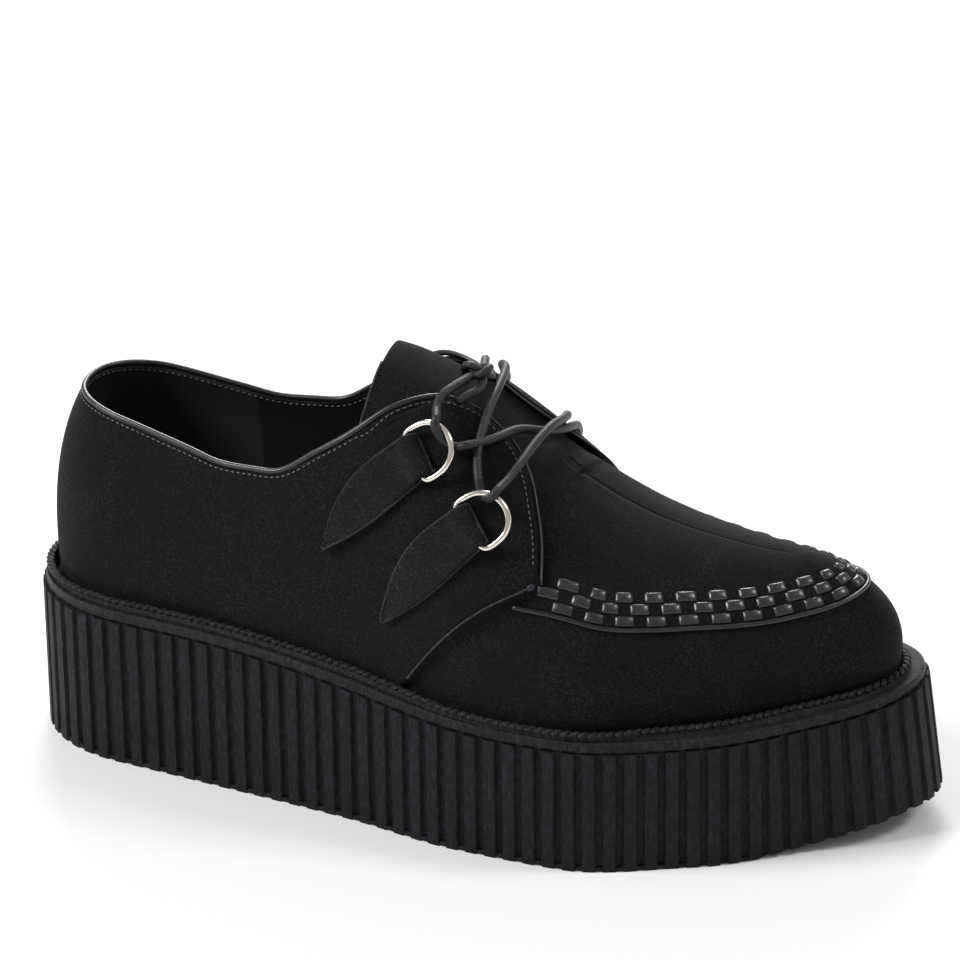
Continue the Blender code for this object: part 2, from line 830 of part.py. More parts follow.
# Outline of a tab from the ring to the tip: share along, half width as a share of the tab's
# half width, and rise as a share of the loop that holds the ring
LEAF = table(
    "share half loop",
    (0.000, 0.82, 0.0),
    (0.030, 0.84, 0.8),
    (0.070, 0.85, 1.0),
    (0.110, 0.86, 0.8),
    (0.160, 0.88, 0.0),
    (0.340, 0.98, 0.0),
    (0.520, 0.97, 0.0),
    (0.700, 0.78, 0.0),
    (0.850, 0.47, 0.0),
    (0.950, 0.20, 0.0),
    (1.000, 0.05, 0.0),
)
RING_SEAT = 0.070
LEAF_ACROSS = (-1.0, -0.5, 0.0, 0.5, 1.0)
LOOP_RISE = RING_WIRE + 2 * CURVED_GAP


class Leaf:
    """Where a tab lies: its line on the face, from the ring's end to the tip."""

    def __init__(self, row, side):
        _, along, climb, toward_along, toward_climb = row
        if side == MEDIAL:
            climb -= MEDIAL_DROP
            toward_climb -= MEDIAL_DROP
        self.side = side
        self.turn, self.climb = turn_of(along), climb
        start = last(self.turn, climb, side)
        d_turn, d_climb = turn_of(toward_along) - self.turn, toward_climb - climb
        reach = 1.0
        for _ in range(4):
            span = (last(self.turn + d_turn * reach, climb + d_climb * reach, side) - start).length
            reach *= TAB_LENGTH / span
        self.d_turn, self.d_climb = d_turn * reach, d_climb * reach

    def spot(self, share, across, lift):
        turn, climb = self.turn + self.d_turn * share, self.climb + self.d_climb * share
        ahead = last(turn + self.d_turn * 0.02, climb + self.d_climb * 0.02, self.side)
        run = (ahead - last(turn, climb, self.side)).normalized()
        sideways = run.cross(normal_at(turn, climb, self.side))
        turn, climb = shift(turn, climb, self.side, sideways * across)
        return skin(turn, climb, self.side, QUARTER_STEP + lift)

    def axes(self):
        """Middle of the ring's bar, the way out of the tab, the way across and the way up."""
        base = self.spot(RING_SEAT, 0.0, CURVED_GAP + RING_WIRE / 2 + GAP)
        out = (self.spot(0.0, 0.0, 0.0) - self.spot(2 * RING_SEAT, 0.0, 0.0)).normalized()
        across = (self.spot(RING_SEAT, 0.006, 0.0) - self.spot(RING_SEAT, -0.006, 0.0)).normalized()
        up = across.cross(out).normalized()
        if up.z < 0:
            up = -up
        return base, out, across, up


def build_tab(name, leaf):
    """A suede leaf sewn to the quarter; its wide end is folded round the ring's bar."""
    lines = []
    for share, half, loop in zip(*LEAF.values()):
        lift = CURVED_GAP + LOOP_RISE * loop
        lines.append([leaf.spot(share, TAB_WIDTH / 2 * half * a, lift) for a in LEAF_ACROSS])
    bm = sheet_mesh(lines)
    face_outwards(bm, INSIDE)
    data = bpy.data.meshes.new(name)
    bm.to_mesh(data)
    bm.free()
    return solidify(add_object(name, data, SUEDE), TAB_WALL, 1.0)


RING_TILT = {LATERAL: 0.10, MEDIAL: -0.05}
RING_STRAIGHT = 0.0055
RING_CORNER = 0.0016
RING_ARC_STEPS = 8


def ring_spot(leaf, a, b, rise=0.0):
    """A point of the ring's own plane: a across the tab, b out of it."""
    base, out, across, up = leaf.axes()
    tilt = RING_TILT[leaf.side]
    return base + across * a + out * (b * cos(tilt)) + up * (b * sin(tilt) + rise)


def build_ring(name, leaf):
    """A wire ring with one straight side, which the tab is folded round."""
    half = RING_WIDTH / 2
    flat = [(RING_CORNER - half, 0.0), (0.0, 0.0), (half - RING_CORNER, 0.0), (half, RING_CORNER)]
    for i in range(RING_ARC_STEPS + 1):
        angle = pi * i / RING_ARC_STEPS
        flat.append((half * cos(angle), mix(RING_STRAIGHT, RING_DEPTH, sin(angle))))
    flat.append((-half, RING_CORNER))
    return tube(name, [ring_spot(leaf, a, b) for a, b in flat], RING_WIRE / 2, NICKEL, True, 1)


# Lace: chosen points over the flaps and the tongue, from ring to ring, each as its place along
# the shoe, its climb, its side and its lift over the upper's face
BAR_ROUTE = [
    (0.5705, 0.737, LATERAL, 0.0052),
    (0.5755, 0.817, LATERAL, 0.0052),
    (0.5790, 0.912, LATERAL, 0.0052),
    (0.5812, 0.990, LATERAL, 0.0066),
    (0.5800, 0.900, MEDIAL, 0.0064),
    (0.5755, 0.820, MEDIAL, 0.0056),
    (0.5690, 0.740, MEDIAL, 0.0050),
]
TO_UPPER_NEAR = [
    (0.5880, 0.760, MEDIAL, 0.0050),
    (0.5910, 0.850, MEDIAL, 0.0046),
    (0.5880, 0.925, MEDIAL, 0.0040),
    (0.5790, 0.995, MEDIAL, 0.0030),
    (0.5685, 0.955, LATERAL, 0.0038),
    (0.5585, 0.917, LATERAL, 0.0044),
    (0.5480, 0.845, LATERAL, 0.0046),
    (0.5330, 0.785, LATERAL, 0.0048),
    (0.5230, 0.768, LATERAL, 0.0052),
]
TO_UPPER_FAR = [
    (0.5420, 0.708, LATERAL, 0.0052),
    (0.5345, 0.765, LATERAL, 0.0048),
    (0.5315, 0.830, LATERAL, 0.0048),
    (0.5276, 0.916, LATERAL, 0.0050),
    (0.5237, 0.994, LATERAL, 0.0056),
    (0.5160, 0.900, MEDIAL, 0.0048),
    (0.5060, 0.820, MEDIAL, 0.0044),
]
LATERAL_LEG_ROUTE = [
    (0.4850, 0.788, LATERAL, 0.0066),
    (0.4832, 0.826, LATERAL, 0.0066),
    (0.4880, 0.870, LATERAL, 0.0066),
]
MEDIAL_LEG_ROUTE = [
    (0.4830, 0.835, MEDIAL, 0.0060),
    (0.4860, 0.910, MEDIAL, 0.0058),
]
END_ROUTE = [
    (0.5120, 0.938, LATERAL, 0.0064),
    (0.5045, 0.893, LATERAL, 0.0052),
    (0.4990, 0.858, LATERAL, 0.0046),
]
KNOT_PLACE = (0.5025, 0.985, LATERAL, 0.0068)
KNOT_RADIUS = 0.0040
MOUTH_GAP = 0.0015
LACE_STEP = 1.5 * LACE_DIAMETER

# How far each run has slid round its ring, in degrees from the ring's middle towards the heel
BAR_SLIDE = {LATERAL: 22, MEDIAL: 50}
LOWER_SLIDE = {LATERAL: 58, MEDIAL: 12}
UPPER_SLIDE = {LATERAL: -18, MEDIAL: 34}
LEG_SLIDE = {LATERAL: 40, MEDIAL: 74}


def lace_spot(place):
    along, climb, side, lift = place
    return skin(turn_of(along), climb, side, lift)


def ring_mouth(leaf, slides):
    """Just outside a ring's wire, where a run of the lace has slid to."""
    slide = slides[leaf.side]
    heelward = -1 if leaf.axes()[2].x > 0 else 1
    half, reach = RING_WIDTH / 2, RING_DEPTH - RING_STRAIGHT
    across, out = sin(radians(slide)), cos(radians(slide))
    away = Vector((across / half, out / reach)).normalized() * (RING_WIRE / 2 + MOUTH_GAP)
    return ring_spot(leaf, heelward * (half * across + away.x), RING_STRAIGHT + reach * out + away.y)


def knot_end(spot):
    centre = lace_spot(KNOT_PLACE)
    return centre + (spot - centre).normalized() * (KNOT_RADIUS + GAP)


def lace_tube(name, points):
    return tube(name, through(points, LACE_STEP), LACE_DIAMETER / 2, CORD, resolution=1)


def as_mesh(item):
    """Make a curve a closed mesh, so that it can be joined to another."""
    graph = bpy.context.evaluated_depsgraph_get()
    data = bpy.data.meshes.new_from_object(item.evaluated_get(graph))
    bm = bmesh.new()
    bm.from_mesh(data)
    bmesh.ops.remove_doubles(bm, verts=bm.verts, dist=0.00002)
    bmesh.ops.recalc_face_normals(bm, faces=bm.faces)
    bm.to_mesh(data)
    bm.free()
    made = bpy.data.objects.new(item.name + "_mesh", data)
    made.matrix_world = item.matrix_world
    SHOE.objects.link(made)
    bpy.data.objects.remove(item, do_unlink=True)
    return made


def build_lace(leaves):
    """The round cord: a bar, two runs that cross, and the knot with its legs and its short end."""
    upper_near, lower_near = leaves["upper", LATERAL], leaves["lower", LATERAL]
    upper_far, lower_far = leaves["upper", MEDIAL], leaves["lower", MEDIAL]

    def run(name, start, route, end):
        return lace_tube(name, [start] + [lace_spot(place) for place in route] + [end])

    run("lace_bar", ring_mouth(lower_near, BAR_SLIDE), BAR_ROUTE, ring_mouth(lower_far, BAR_SLIDE))
    to_near = run("run_near", ring_mouth(lower_far, LOWER_SLIDE), TO_UPPER_NEAR,
                  ring_mouth(upper_near, UPPER_SLIDE))
    to_far = run("run_far", ring_mouth(lower_near, LOWER_SLIDE), TO_UPPER_FAR,
                 ring_mouth(upper_far, UPPER_SLIDE))
    to_near, to_far = as_mesh(to_near), as_mesh(to_far)
    joined = to_near.modifiers.new("join", "BOOLEAN")
    joined.operation = "UNION"
    joined.object = to_far
    graph = bpy.context.evaluated_depsgraph_get()
    data = bpy.data.meshes.new_from_object(to_near.evaluated_get(graph))
    data.name = "lace_crossing"
    data.materials.clear()
    add_object("lace_crossing", data, CORD)
    for item in (to_near, to_far):
        bpy.data.objects.remove(item, do_unlink=True)

    bm = bmesh.new()
    bmesh.ops.create_uvsphere(bm, u_segments=10, v_segments=7, radius=KNOT_RADIUS)
    bmesh.ops.translate(bm, verts=bm.verts, vec=lace_spot(KNOT_PLACE))
    mesh_object("lace_knot", bm, CORD)
    for name, ring, route in (("lace_leg_lateral", upper_near, LATERAL_LEG_ROUTE),
                              ("lace_leg_medial", upper_far, MEDIAL_LEG_ROUTE)):
        spots = [lace_spot(place) for place in route]
        lace_tube(name, [ring_mouth(ring, LEG_SLIDE)] + spots + [knot_end(spots[-1])])
    spots = [lace_spot(place) for place in END_ROUTE]
    lace_tube("lace_end", [knot_end(spots[0])] + spots)


def build_shoe():
    build_sole()
    build_welt()
    build_insole()
    build_upper()
    build_tongue()
    build_topline_piping()
    build_apron_piping()
    build_woven_band()
    leaves = {}
    for row in zip(*TABS.values()):
        for side, word in ((LATERAL, "lateral"), (MEDIAL, "medial")):
            leaf = leaves[row[0], side] = Leaf(row, side)
            build_tab(f"tab_{word}_{row[0]}", leaf)
            build_ring(f"ring_{word}_{row[0]}", leaf)
    build_lace(leaves)


build_shoe()
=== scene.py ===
"""Creeper shoe, right foot: the finish of every surface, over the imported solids.

Metres, +Z up, +X to the toe, the outside of the foot at -Y. One section for each piece.
"""
from math import cos, pi, radians, sin

import bmesh
import bpy
import numpy as np
from mathutils import Matrix, Vector
from mathutils.bvhtree import BVHTree
from mathutils.geometry import convex_hull_2d


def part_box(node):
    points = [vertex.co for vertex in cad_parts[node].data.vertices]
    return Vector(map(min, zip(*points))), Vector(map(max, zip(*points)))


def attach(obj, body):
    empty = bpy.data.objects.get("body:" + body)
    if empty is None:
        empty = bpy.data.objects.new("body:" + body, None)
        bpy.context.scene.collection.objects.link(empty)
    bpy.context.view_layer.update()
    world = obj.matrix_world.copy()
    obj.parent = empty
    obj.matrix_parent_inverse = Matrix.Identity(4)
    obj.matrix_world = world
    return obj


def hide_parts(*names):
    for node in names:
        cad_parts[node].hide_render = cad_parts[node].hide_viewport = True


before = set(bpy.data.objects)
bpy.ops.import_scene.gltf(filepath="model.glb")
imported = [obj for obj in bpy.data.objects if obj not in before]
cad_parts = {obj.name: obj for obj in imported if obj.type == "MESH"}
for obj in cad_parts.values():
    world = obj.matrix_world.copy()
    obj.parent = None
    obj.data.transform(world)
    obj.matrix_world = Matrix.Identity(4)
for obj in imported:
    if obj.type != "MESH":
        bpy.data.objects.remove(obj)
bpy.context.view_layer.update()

LATERAL, MEDIAL = -1, 1
bpy.ops.object.select_all(action="DESELECT")


# Camera: a long lens, a little above the shoe and turned towards the toe, rolled by under a degree.
# It stands at the photograph's angle to the shoe.
CAMERA_AZIMUTH = radians(19.763)
CAMERA_ELEVATION = radians(24.539)
CAMERA_ROLL = radians(-0.668)
CAMERA_TARGET = Vector((0.00046, 0.00313, 0.10382))
CAMERA_DISTANCE = 1.5717
CAMERA_LENS = 180.19
SENSOR = 36.0

back = Vector((sin(CAMERA_AZIMUTH) * cos(CAMERA_ELEVATION),
               -cos(CAMERA_AZIMUTH) * cos(CAMERA_ELEVATION), sin(CAMERA_ELEVATION)))
level = Vector((cos(CAMERA_AZIMUTH), sin(CAMERA_AZIMUTH), 0.0))
upright = back.cross(level)
right = cos(CAMERA_ROLL) * level + sin(CAMERA_ROLL) * upright
up = cos(CAMERA_ROLL) * upright - sin(CAMERA_ROLL) * level
place = CAMERA_TARGET + back * CAMERA_DISTANCE
bpy.ops.object.camera_add()
camera = bpy.context.object
camera.name = "photo_camera"
camera.matrix_world = Matrix((right, up, back)).transposed().to_4x4()
camera.location = place
camera.data.sensor_width = SENSOR
camera.data.lens = CAMERA_LENS
camera.data.clip_start = 0.05
camera.data.clip_end = 20.0
bpy.context.scene.camera = camera


# Studio: a plain pale floor, a grey surround and three wide soft lamps: one high on the left, one
# low behind that shines along the top of the shoe, and one over the toe.
FLOOR_SIZE = 12.0
FLOOR_COLOUR = (0.88, 0.88, 0.88)
SURROUND = 0.42
LAMP_TARGET = Vector((0.0, 0.0, 0.06))
LAMPS = {
    "key_lamp": ((-2.3, -1.3, 2.3), 1.3, 105.0),
    "back_lamp": ((-0.9, 3.0, 2.1), 1.7, 105.0),
    "toe_lamp": ((2.1, 0.6, 2.4), 0.8, 30.0),
}


def principled(name, colour, roughness, **values):
    """A new material, its node tree and its shader."""
    made = bpy.data.materials.new(name)
    made.use_nodes = True
    tree = made.node_tree
    shader = tree.nodes["Principled BSDF"]
    shader.inputs["Base Color"].default_value = (*colour, 1.0)
    shader.inputs["Roughness"].default_value = roughness
    for socket, value in values.items():
        shader.inputs[socket.replace("_", " ")].default_value = value
    return made, tree, shader


def node(tree, kind, inputs, **settings):
    """Add a shader node; an input is a value or another node's output."""
    made = tree.nodes.new("ShaderNode" + kind)
    for key, value in settings.items():
        setattr(made, key, value)
    for key, value in inputs.items():
        if isinstance(value, bpy.types.NodeSocket):
            tree.links.new(value, made.inputs[key])
        else:
            made.inputs[key].default_value = value
    return made


bpy.ops.mesh.primitive_plane_add(size=FLOOR_SIZE)
floor = bpy.context.object
floor.name = "studio_floor"
floor.data.materials.append(principled("floor_paper", FLOOR_COLOUR, 0.9)[0])

for name, (spot, size, power) in LAMPS.items():
    bpy.ops.object.light_add(type="AREA", location=spot)
    lamp = bpy.context.object
    lamp.name = name
    lamp.data.shape = "DISK"
    lamp.data.size = size
    lamp.data.energy = power
    lamp.rotation_euler = (LAMP_TARGET - lamp.location).to_track_quat("-Z", "Y").to_euler()

world = bpy.data.worlds.new("white_surround")
world.use_nodes = True
world.node_tree.nodes["Background"].inputs["Color"].default_value = (1.0, 1.0, 1.0, 1.0)
world.node_tree.nodes["Background"].inputs["Strength"].default_value = SURROUND
bpy.context.scene.world = world
bpy.context.scene.view_settings.view_transform = "Standard"
bpy.ops.object.select_all(action="DESELECT")


# Lace: one round braided cord of waxed cotton, led through the four rings and knotted over the
# tongue. It takes the solids' route, and at each ring it goes over the wire on one side of the hole
# and under it on the other.
LACE_DIAMETER = 0.0030
LACE_SIDES = 12
LACE_COLOUR = (0.0050, 0.0066, 0.0082)
LACE_STEP = 0.0010
LACE_EASING = 5
BRAID_STRANDS, BRAID_LEAN = 6.0, 2.5
PATH_STEP = 0.0015
CURVE_STEPS = 24
RING_WIRE = 0.0023
RING_STRAIGHT = 0.0055
RING_SLACK = 0.0002
SAME_SPOT = 0.00001
KNOT_CENTRE = Vector((0.0028, -0.0020, 0.1450))
LEG_LATERAL = [(-0.0022, -0.0170, 0.1443), (-0.0040, -0.0216, 0.1428), (-0.0038, -0.0254, 0.1403)]
RUN_TO_FAR_LOWER = [
    (0.0105, -0.0261, 0.1308), (0.0149, -0.0199, 0.1309), (0.0181, -0.0114, 0.1304),
    (0.0208, -0.0063, 0.1287), (0.0249, 0.0021, 0.1251), (0.0271, 0.0107, 0.1226),
    (0.0272, 0.0188, 0.1203), (0.0262, 0.0268, 0.1170),
]
BAR = [
    (0.0216, 0.0289, 0.1190), (0.0243, 0.0221, 0.1225), (0.0264, 0.0141, 0.1254),
    (0.0265, -0.0009, 0.1284), (0.0249, -0.0119, 0.1269), (0.0236, -0.0230, 0.1242),
    (0.0218, -0.0305, 0.1214),
]
RUN_TO_FAR_UPPER = [
    (0.0128, -0.0335, 0.1242), (0.0108, -0.0278, 0.1288), (0.0103, -0.0215, 0.1335),
    (0.0095, -0.0117, 0.1377), (0.0088, -0.0004, 0.1404), (0.0061, 0.0135, 0.1402),
    (0.0023, 0.0207, 0.1382),
]
LEG_MEDIAL = [(-0.0030, 0.0192, 0.1393), (-0.0005, 0.0120, 0.1426)]
FREE_END = [(0.0056, -0.0090, 0.1423), (0.0025, -0.0143, 0.1415), (0.0004, -0.0179, 0.1406)]

# How far each run has slid round its ring, in degrees from the middle towards the heel
NEAR_BAR, NEAR_RUN_OUT, NEAR_RUN_IN, NEAR_LEG = 22, 58, -18, 40
FAR_BAR, FAR_RUN_IN, FAR_RUN_OUT, FAR_LEG = 56, 20, 30, 68


def merged(node_name):
    """A copy of a CAD node's mesh with its loose triangles joined."""
    bm = bmesh.new()
    bm.from_mesh(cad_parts[node_name].data)
    bmesh.ops.remove_doubles(bm, verts=bm.verts, dist=SAME_SPOT)
    return bm


class Ring:
    """Where a ring lies, read from its solid: its straight side, the way out of the tab, and up."""

    def __init__(self, node_name):
        bm = merged(node_name)
        spots = np.array([v.co for v in bm.verts])
        bm.free()
        middle = spots.mean(axis=0)
        axes = np.linalg.svd(spots - middle)[2]
        self.across, out, upward = (Vector(a) for a in axes)
        self.out = out if out.z > 0 else -out
        self.up = upward if upward.z > 0 else -upward
        if self.across.x > 0:
            self.across = -self.across
        reach = (spots - middle) @ np.array(self.out)
        self.base = Vector(middle) + self.out * (reach.min() + RING_WIRE / 2)
        width = np.ptp((spots - middle) @ np.array(self.across))
        self.half = (width - RING_WIRE) / 2
        self.depth = np.ptp(reach) - RING_WIRE - RING_STRAIGHT

    def wire(self, slide):
        """The wire's centre and the way out from it, at degrees from the middle towards the heel."""
        a, b = sin(radians(slide)), cos(radians(slide))
        spot = self.base + self.across * (self.half * a) + self.out * (RING_STRAIGHT + self.depth * b)
        away = (self.across * (a / self.half) + self.out * (b / self.depth)).normalized()
        return spot, away

    def thread(self, slide_over, slide_under):
        """The lace's points from outside over the wire, across the hole, and out under the wire."""
        clear = (RING_WIRE + LACE_DIAMETER) / 2 + RING_SLACK
        over, away_over = self.wire(slide_over)
        under, away_under = self.wire(slide_under)
        inward = (away_over + away_under).normalized() * -0.5 * clear
        return [
            over + away_over * clear * 0.6 + self.up * clear * 0.95,
            over - away_over * clear * 0.3 + self.up * clear * 0.9,
            over.lerp(under, 0.35) + inward + self.up * clear * 0.25,
            over.lerp(under, 0.70) + inward - self.up * clear * 0.45,
            under - self.up * clear,
            under + away_under * clear * 1.4 - self.up * clear * 0.6,
        ]


def smooth_path(points, step, closed=False):
    """A curve through chosen points, cut into equal steps."""
    spots = [Vector(p) for p in points]
    if closed:
        spots = [spots[-1]] + spots + spots[:2]
    else:
        spots = [spots[0] * 2 - spots[1]] + spots + [spots[-1] * 2 - spots[-2]]
    fine = []
    for a, b, c, d in zip(spots, spots[1:], spots[2:], spots[3:]):
        for i in range(CURVE_STEPS):
            t = i / CURVE_STEPS
            bend = t * (3 * b - a - 3 * c + d)
            fine.append(b + 0.5 * t * (c - a + t * (2 * a - 5 * b + 4 * c - d + bend)))
    fine.append(spots[-2])
    fine = np.array(fine)
    run = np.concatenate([[0.0], np.cumsum(np.linalg.norm(np.diff(fine, axis=0), axis=1))])
    count = max(2, round(run[-1] / step))
    marks = np.linspace(0.0, run[-1], count + 1)
    out = [Vector(p) for p in np.stack([np.interp(marks, run, fine[:, k]) for k in range(3)], axis=1)]
    return out[:-1] if closed else out


def eased(path, times):
    """A path with its tight bends relaxed and both ends kept."""
    for _ in range(times):
        middles = [(a + 2 * b + c) / 4 for a, b, c in zip(path, path[1:], path[2:])]
        path = [path[0], *middles, path[-1]]
    return path


def length_of(path):
    return sum((b - a).length for a, b in zip(path, path[1:]))


def shaped(bm, name, finish):
    """A piece from a built mesh, smooth all over and of one finish."""
    data = bpy.data.meshes.new(name)
    bm.to_mesh(data)
    bm.free()
    data.shade_smooth()
    data.materials.append(finish)
    made = bpy.data.objects.new(name, data)
    bpy.context.collection.objects.link(made)
    return made


def tube(name, path, radius, finish, sides=10, closed=False, widths=None):
    """A round tube along a path, with a UV map that runs round it and along it in diameters."""
    bm = bmesh.new()
    uv = bm.loops.layers.uv.new("along")
    count = len(path)
    rings, run, side = [], [0.0], None
    for i, spot in enumerate(path):
        before = path[i - 1] if i or closed else path[0]
        after = path[(i + 1) % count] if i + 1 < count or closed else path[-1]
        way = (after - before).normalized()
        if side is None:
            side = way.orthogonal()
        side = (side - way * side.dot(way)).normalized()
        other = way.cross(side)
        size = radius * (widths[i] if widths else 1.0)
        turn = [2 * pi * k / sides for k in range(sides)]
        rings.append([bm.verts.new(spot + (side * cos(a) + other * sin(a)) * size) for a in turn])
        if i:
            run.append(run[-1] + (spot - path[i - 1]).length)
    spans = count if closed else count - 1
    for i in range(spans):
        near, far = rings[i], rings[(i + 1) % count]
        v0 = run[i] / (2 * radius)
        v1 = v0 + (path[(i + 1) % count] - path[i]).length / (2 * radius)
        for k in range(sides):
            n = (k + 1) % sides
            face = bm.faces.new((near[k], near[n], far[n], far[k]))
            u0, u1 = k / sides, (k + 1) / sides
            for loop, at in zip(face.loops, ((u0, v0), (u1, v0), (u1, v1), (u0, v1))):
                loop[uv].uv = at
    if not closed:
        bm.faces.new(rings[0][::-1])
        bm.faces.new(rings[-1])
    bmesh.ops.recalc_face_normals(bm, faces=bm.faces)
    return shaped(bm, name, finish)


def kept(piece, slot, *nodes):
    """A finished piece: it rides on the shoe and stands for its solids."""
    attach(piece, "root")
    if nodes:
        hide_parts(*nodes)
    return piece


def braid_material():
    """Waxed cotton braid: fine crossing strands, blue black, with a dull sheen on top, partly from its own
    gloss and partly a painted highlight; the grooves between the strands carry painted shade.
    """
    made, tree, shader = principled("lace_braid", LACE_COLOUR, 0.50, Specular_IOR_Level=0.45)
    uv = node(tree, "UVMap", {}, uv_map="along").outputs["UV"]
    parts = node(tree, "SeparateXYZ", {"Vector": uv})
    strands = []
    for lean in (1.0, -1.0):
        slant = node(tree, "Math", {0: parts.outputs["Y"], 1: BRAID_LEAN * lean}, operation="MULTIPLY")
        turn = node(tree, "Math", {0: parts.outputs["X"], 1: BRAID_STRANDS, 2: slant.outputs[0]},
                    operation="MULTIPLY_ADD")
        wave = node(tree, "Math", {0: turn.outputs[0], 1: 0.5}, operation="PINGPONG")
        strands.append(wave.outputs[0])
    high = node(tree, "Math", {0: strands[0], 1: strands[1]}, operation="MAXIMUM")
    bump = node(tree, "Bump", {"Height": high.outputs[0], "Strength": 0.45, "Distance": 0.0004})
    tree.links.new(bump.outputs["Normal"], shader.inputs["Normal"])
    # Painted shade and highlight: the base colour darkens in the grooves between strands and lightens on
    # their crowns
    shade = node(tree, "MapRange", {"Value": high.outputs[0], "From Min": 0.15, "From Max": 0.5,
                                    "To Min": 0.4, "To Max": 1.3})
    tint = node(tree, "VectorMath", {0: LACE_COLOUR, "Scale": shade.outputs[0]}, operation="SCALE")
    tree.links.new(tint.outputs[0], shader.inputs["Base Color"])
    return made


LACE_BRAID = braid_material()
ring_near_upper, ring_near_lower = Ring("ring_lateral_upper"), Ring("ring_lateral_lower")
ring_far_upper, ring_far_lower = Ring("ring_medial_upper"), Ring("ring_medial_lower")
route = [KNOT_CENTRE, *LEG_LATERAL]
route += ring_near_upper.thread(NEAR_LEG, NEAR_RUN_IN)
route += RUN_TO_FAR_LOWER + ring_far_lower.thread(FAR_BAR, FAR_RUN_IN)[::-1]
route += BAR + ring_near_lower.thread(NEAR_BAR, NEAR_RUN_OUT)
route += RUN_TO_FAR_UPPER + ring_far_upper.thread(FAR_RUN_OUT, FAR_LEG)
route += LEG_MEDIAL + [KNOT_CENTRE + Vector((0.001, 0.0, -0.001))] + FREE_END
lace_path = smooth_path(eased(smooth_path(route, LACE_STEP), LACE_EASING), LACE_STEP)
lace = tube("lace_cord", lace_path, LACE_DIAMETER / 2, LACE_BRAID, LACE_SIDES)
kept(lace, "lace_cord", "lace_bar", "lace_crossing", "lace_leg_lateral", "lace_leg_medial", "lace_end")

# The knot: the same cord pulled tight, tied once over the tongue
KNOT_SIZE = 0.0017
KNOT_HEIGHT = 0.9
KNOT_LEAN = radians(-24)
KNOT_TURN = radians(35)
KNOT_STEPS = 90
KNOT_CORD = LACE_DIAMETER / 2 * 0.92
knot_path = []
for i in range(KNOT_STEPS):
    t = 2 * pi * i / KNOT_STEPS
    knot_path.append(Vector((sin(t) + 2 * sin(2 * t), cos(t) - 2 * cos(2 * t), -KNOT_HEIGHT * sin(3 * t))))
knot_turn = Matrix.Rotation(KNOT_LEAN, 3, "X") @ Matrix.Rotation(KNOT_TURN, 3, "Z")
knot_path = [KNOT_CENTRE + knot_turn @ p * KNOT_SIZE for p in knot_path]
knot = tube("lace_knot_tied", knot_path, KNOT_CORD, LACE_BRAID, LACE_SIDES, closed=True)
kept(knot, "lace_cord", "lace_knot")


# Rings: bent from nickel plated wire, one side straight, closed and polished. Each is the solid's
# own wire, rounded, and is held by its straight side in the fold of a tab.
NICKEL_COLOUR = (0.80, 0.755, 0.69)
NICKEL_CLOUD = 700.0
RING_SWELL = 0.00013


def effect_group(name, inputs, outputs):
    """A new shader node group: it takes a place and named numbers, and gives named numbers."""
    group = bpy.data.node_groups.new(name, "ShaderNodeTree")
    group.interface.new_socket("Vector", in_out="INPUT", socket_type="NodeSocketVector")
    for socket in inputs:
        group.interface.new_socket(socket, in_out="INPUT", socket_type="NodeSocketFloat")
    for socket in outputs:
        group.interface.new_socket(socket, in_out="OUTPUT", socket_type="NodeSocketFloat")
    return group, group.nodes.new("NodeGroupInput").outputs, group.nodes.new("NodeGroupOutput").inputs


def grain_group():
    """Fine grain, as metal, patent leather and linings have it."""
    group, enter, leave = effect_group("fine_grain", ["Grain"], ["Height"])
    grain = node(group, "TexNoise", {"Vector": enter["Vector"], "Scale": enter["Grain"], "Detail": 3.0})
    group.links.new(grain.outputs[0], leave["Height"])
    return group


FINE_GRAIN = grain_group()


def effect(tree, group, **values):
    """Place an effect in a material, over the piece's own Object coordinates."""
    made = node(tree, "Group", {}, node_tree=group)
    tree.links.new(node(tree, "TexCoord", {}).outputs["Object"], made.inputs["Vector"])
    for socket, value in values.items():
        made.inputs[socket].default_value = value
    return made.outputs


def embossed(tree, shader, height, strength, distance):
    """Lead a height into the shader's normal."""
    bump = node(tree, "Bump", {"Height": height, "Strength": strength, "Distance": distance})
    tree.links.new(bump.outputs["Normal"], shader.inputs["Normal"])


def mixed(tree, shader, mask, colour, other):
    """Lead two colours into the shader's base colour, the second where the mask is full."""
    tint = node(tree, "Mix", {0: mask}, data_type="RGBA")
    tint.inputs[6].default_value = (*colour, 1.0)
    tint.inputs[7].default_value = (*other, 1.0)
    tree.links.new(tint.outputs[2], shader.inputs["Base Color"])


def nickel_material():
    made, tree, shader = principled("nickel_plate", NICKEL_COLOUR, 0.16, Metallic=1.0)
    cloud = effect(tree, FINE_GRAIN, Grain=NICKEL_CLOUD)["Height"]
    rough = node(tree, "MapRange", {"Value": cloud, "To Min": 0.10, "To Max": 0.26})
    tree.links.new(rough.outputs[0], shader.inputs["Roughness"])
    return made


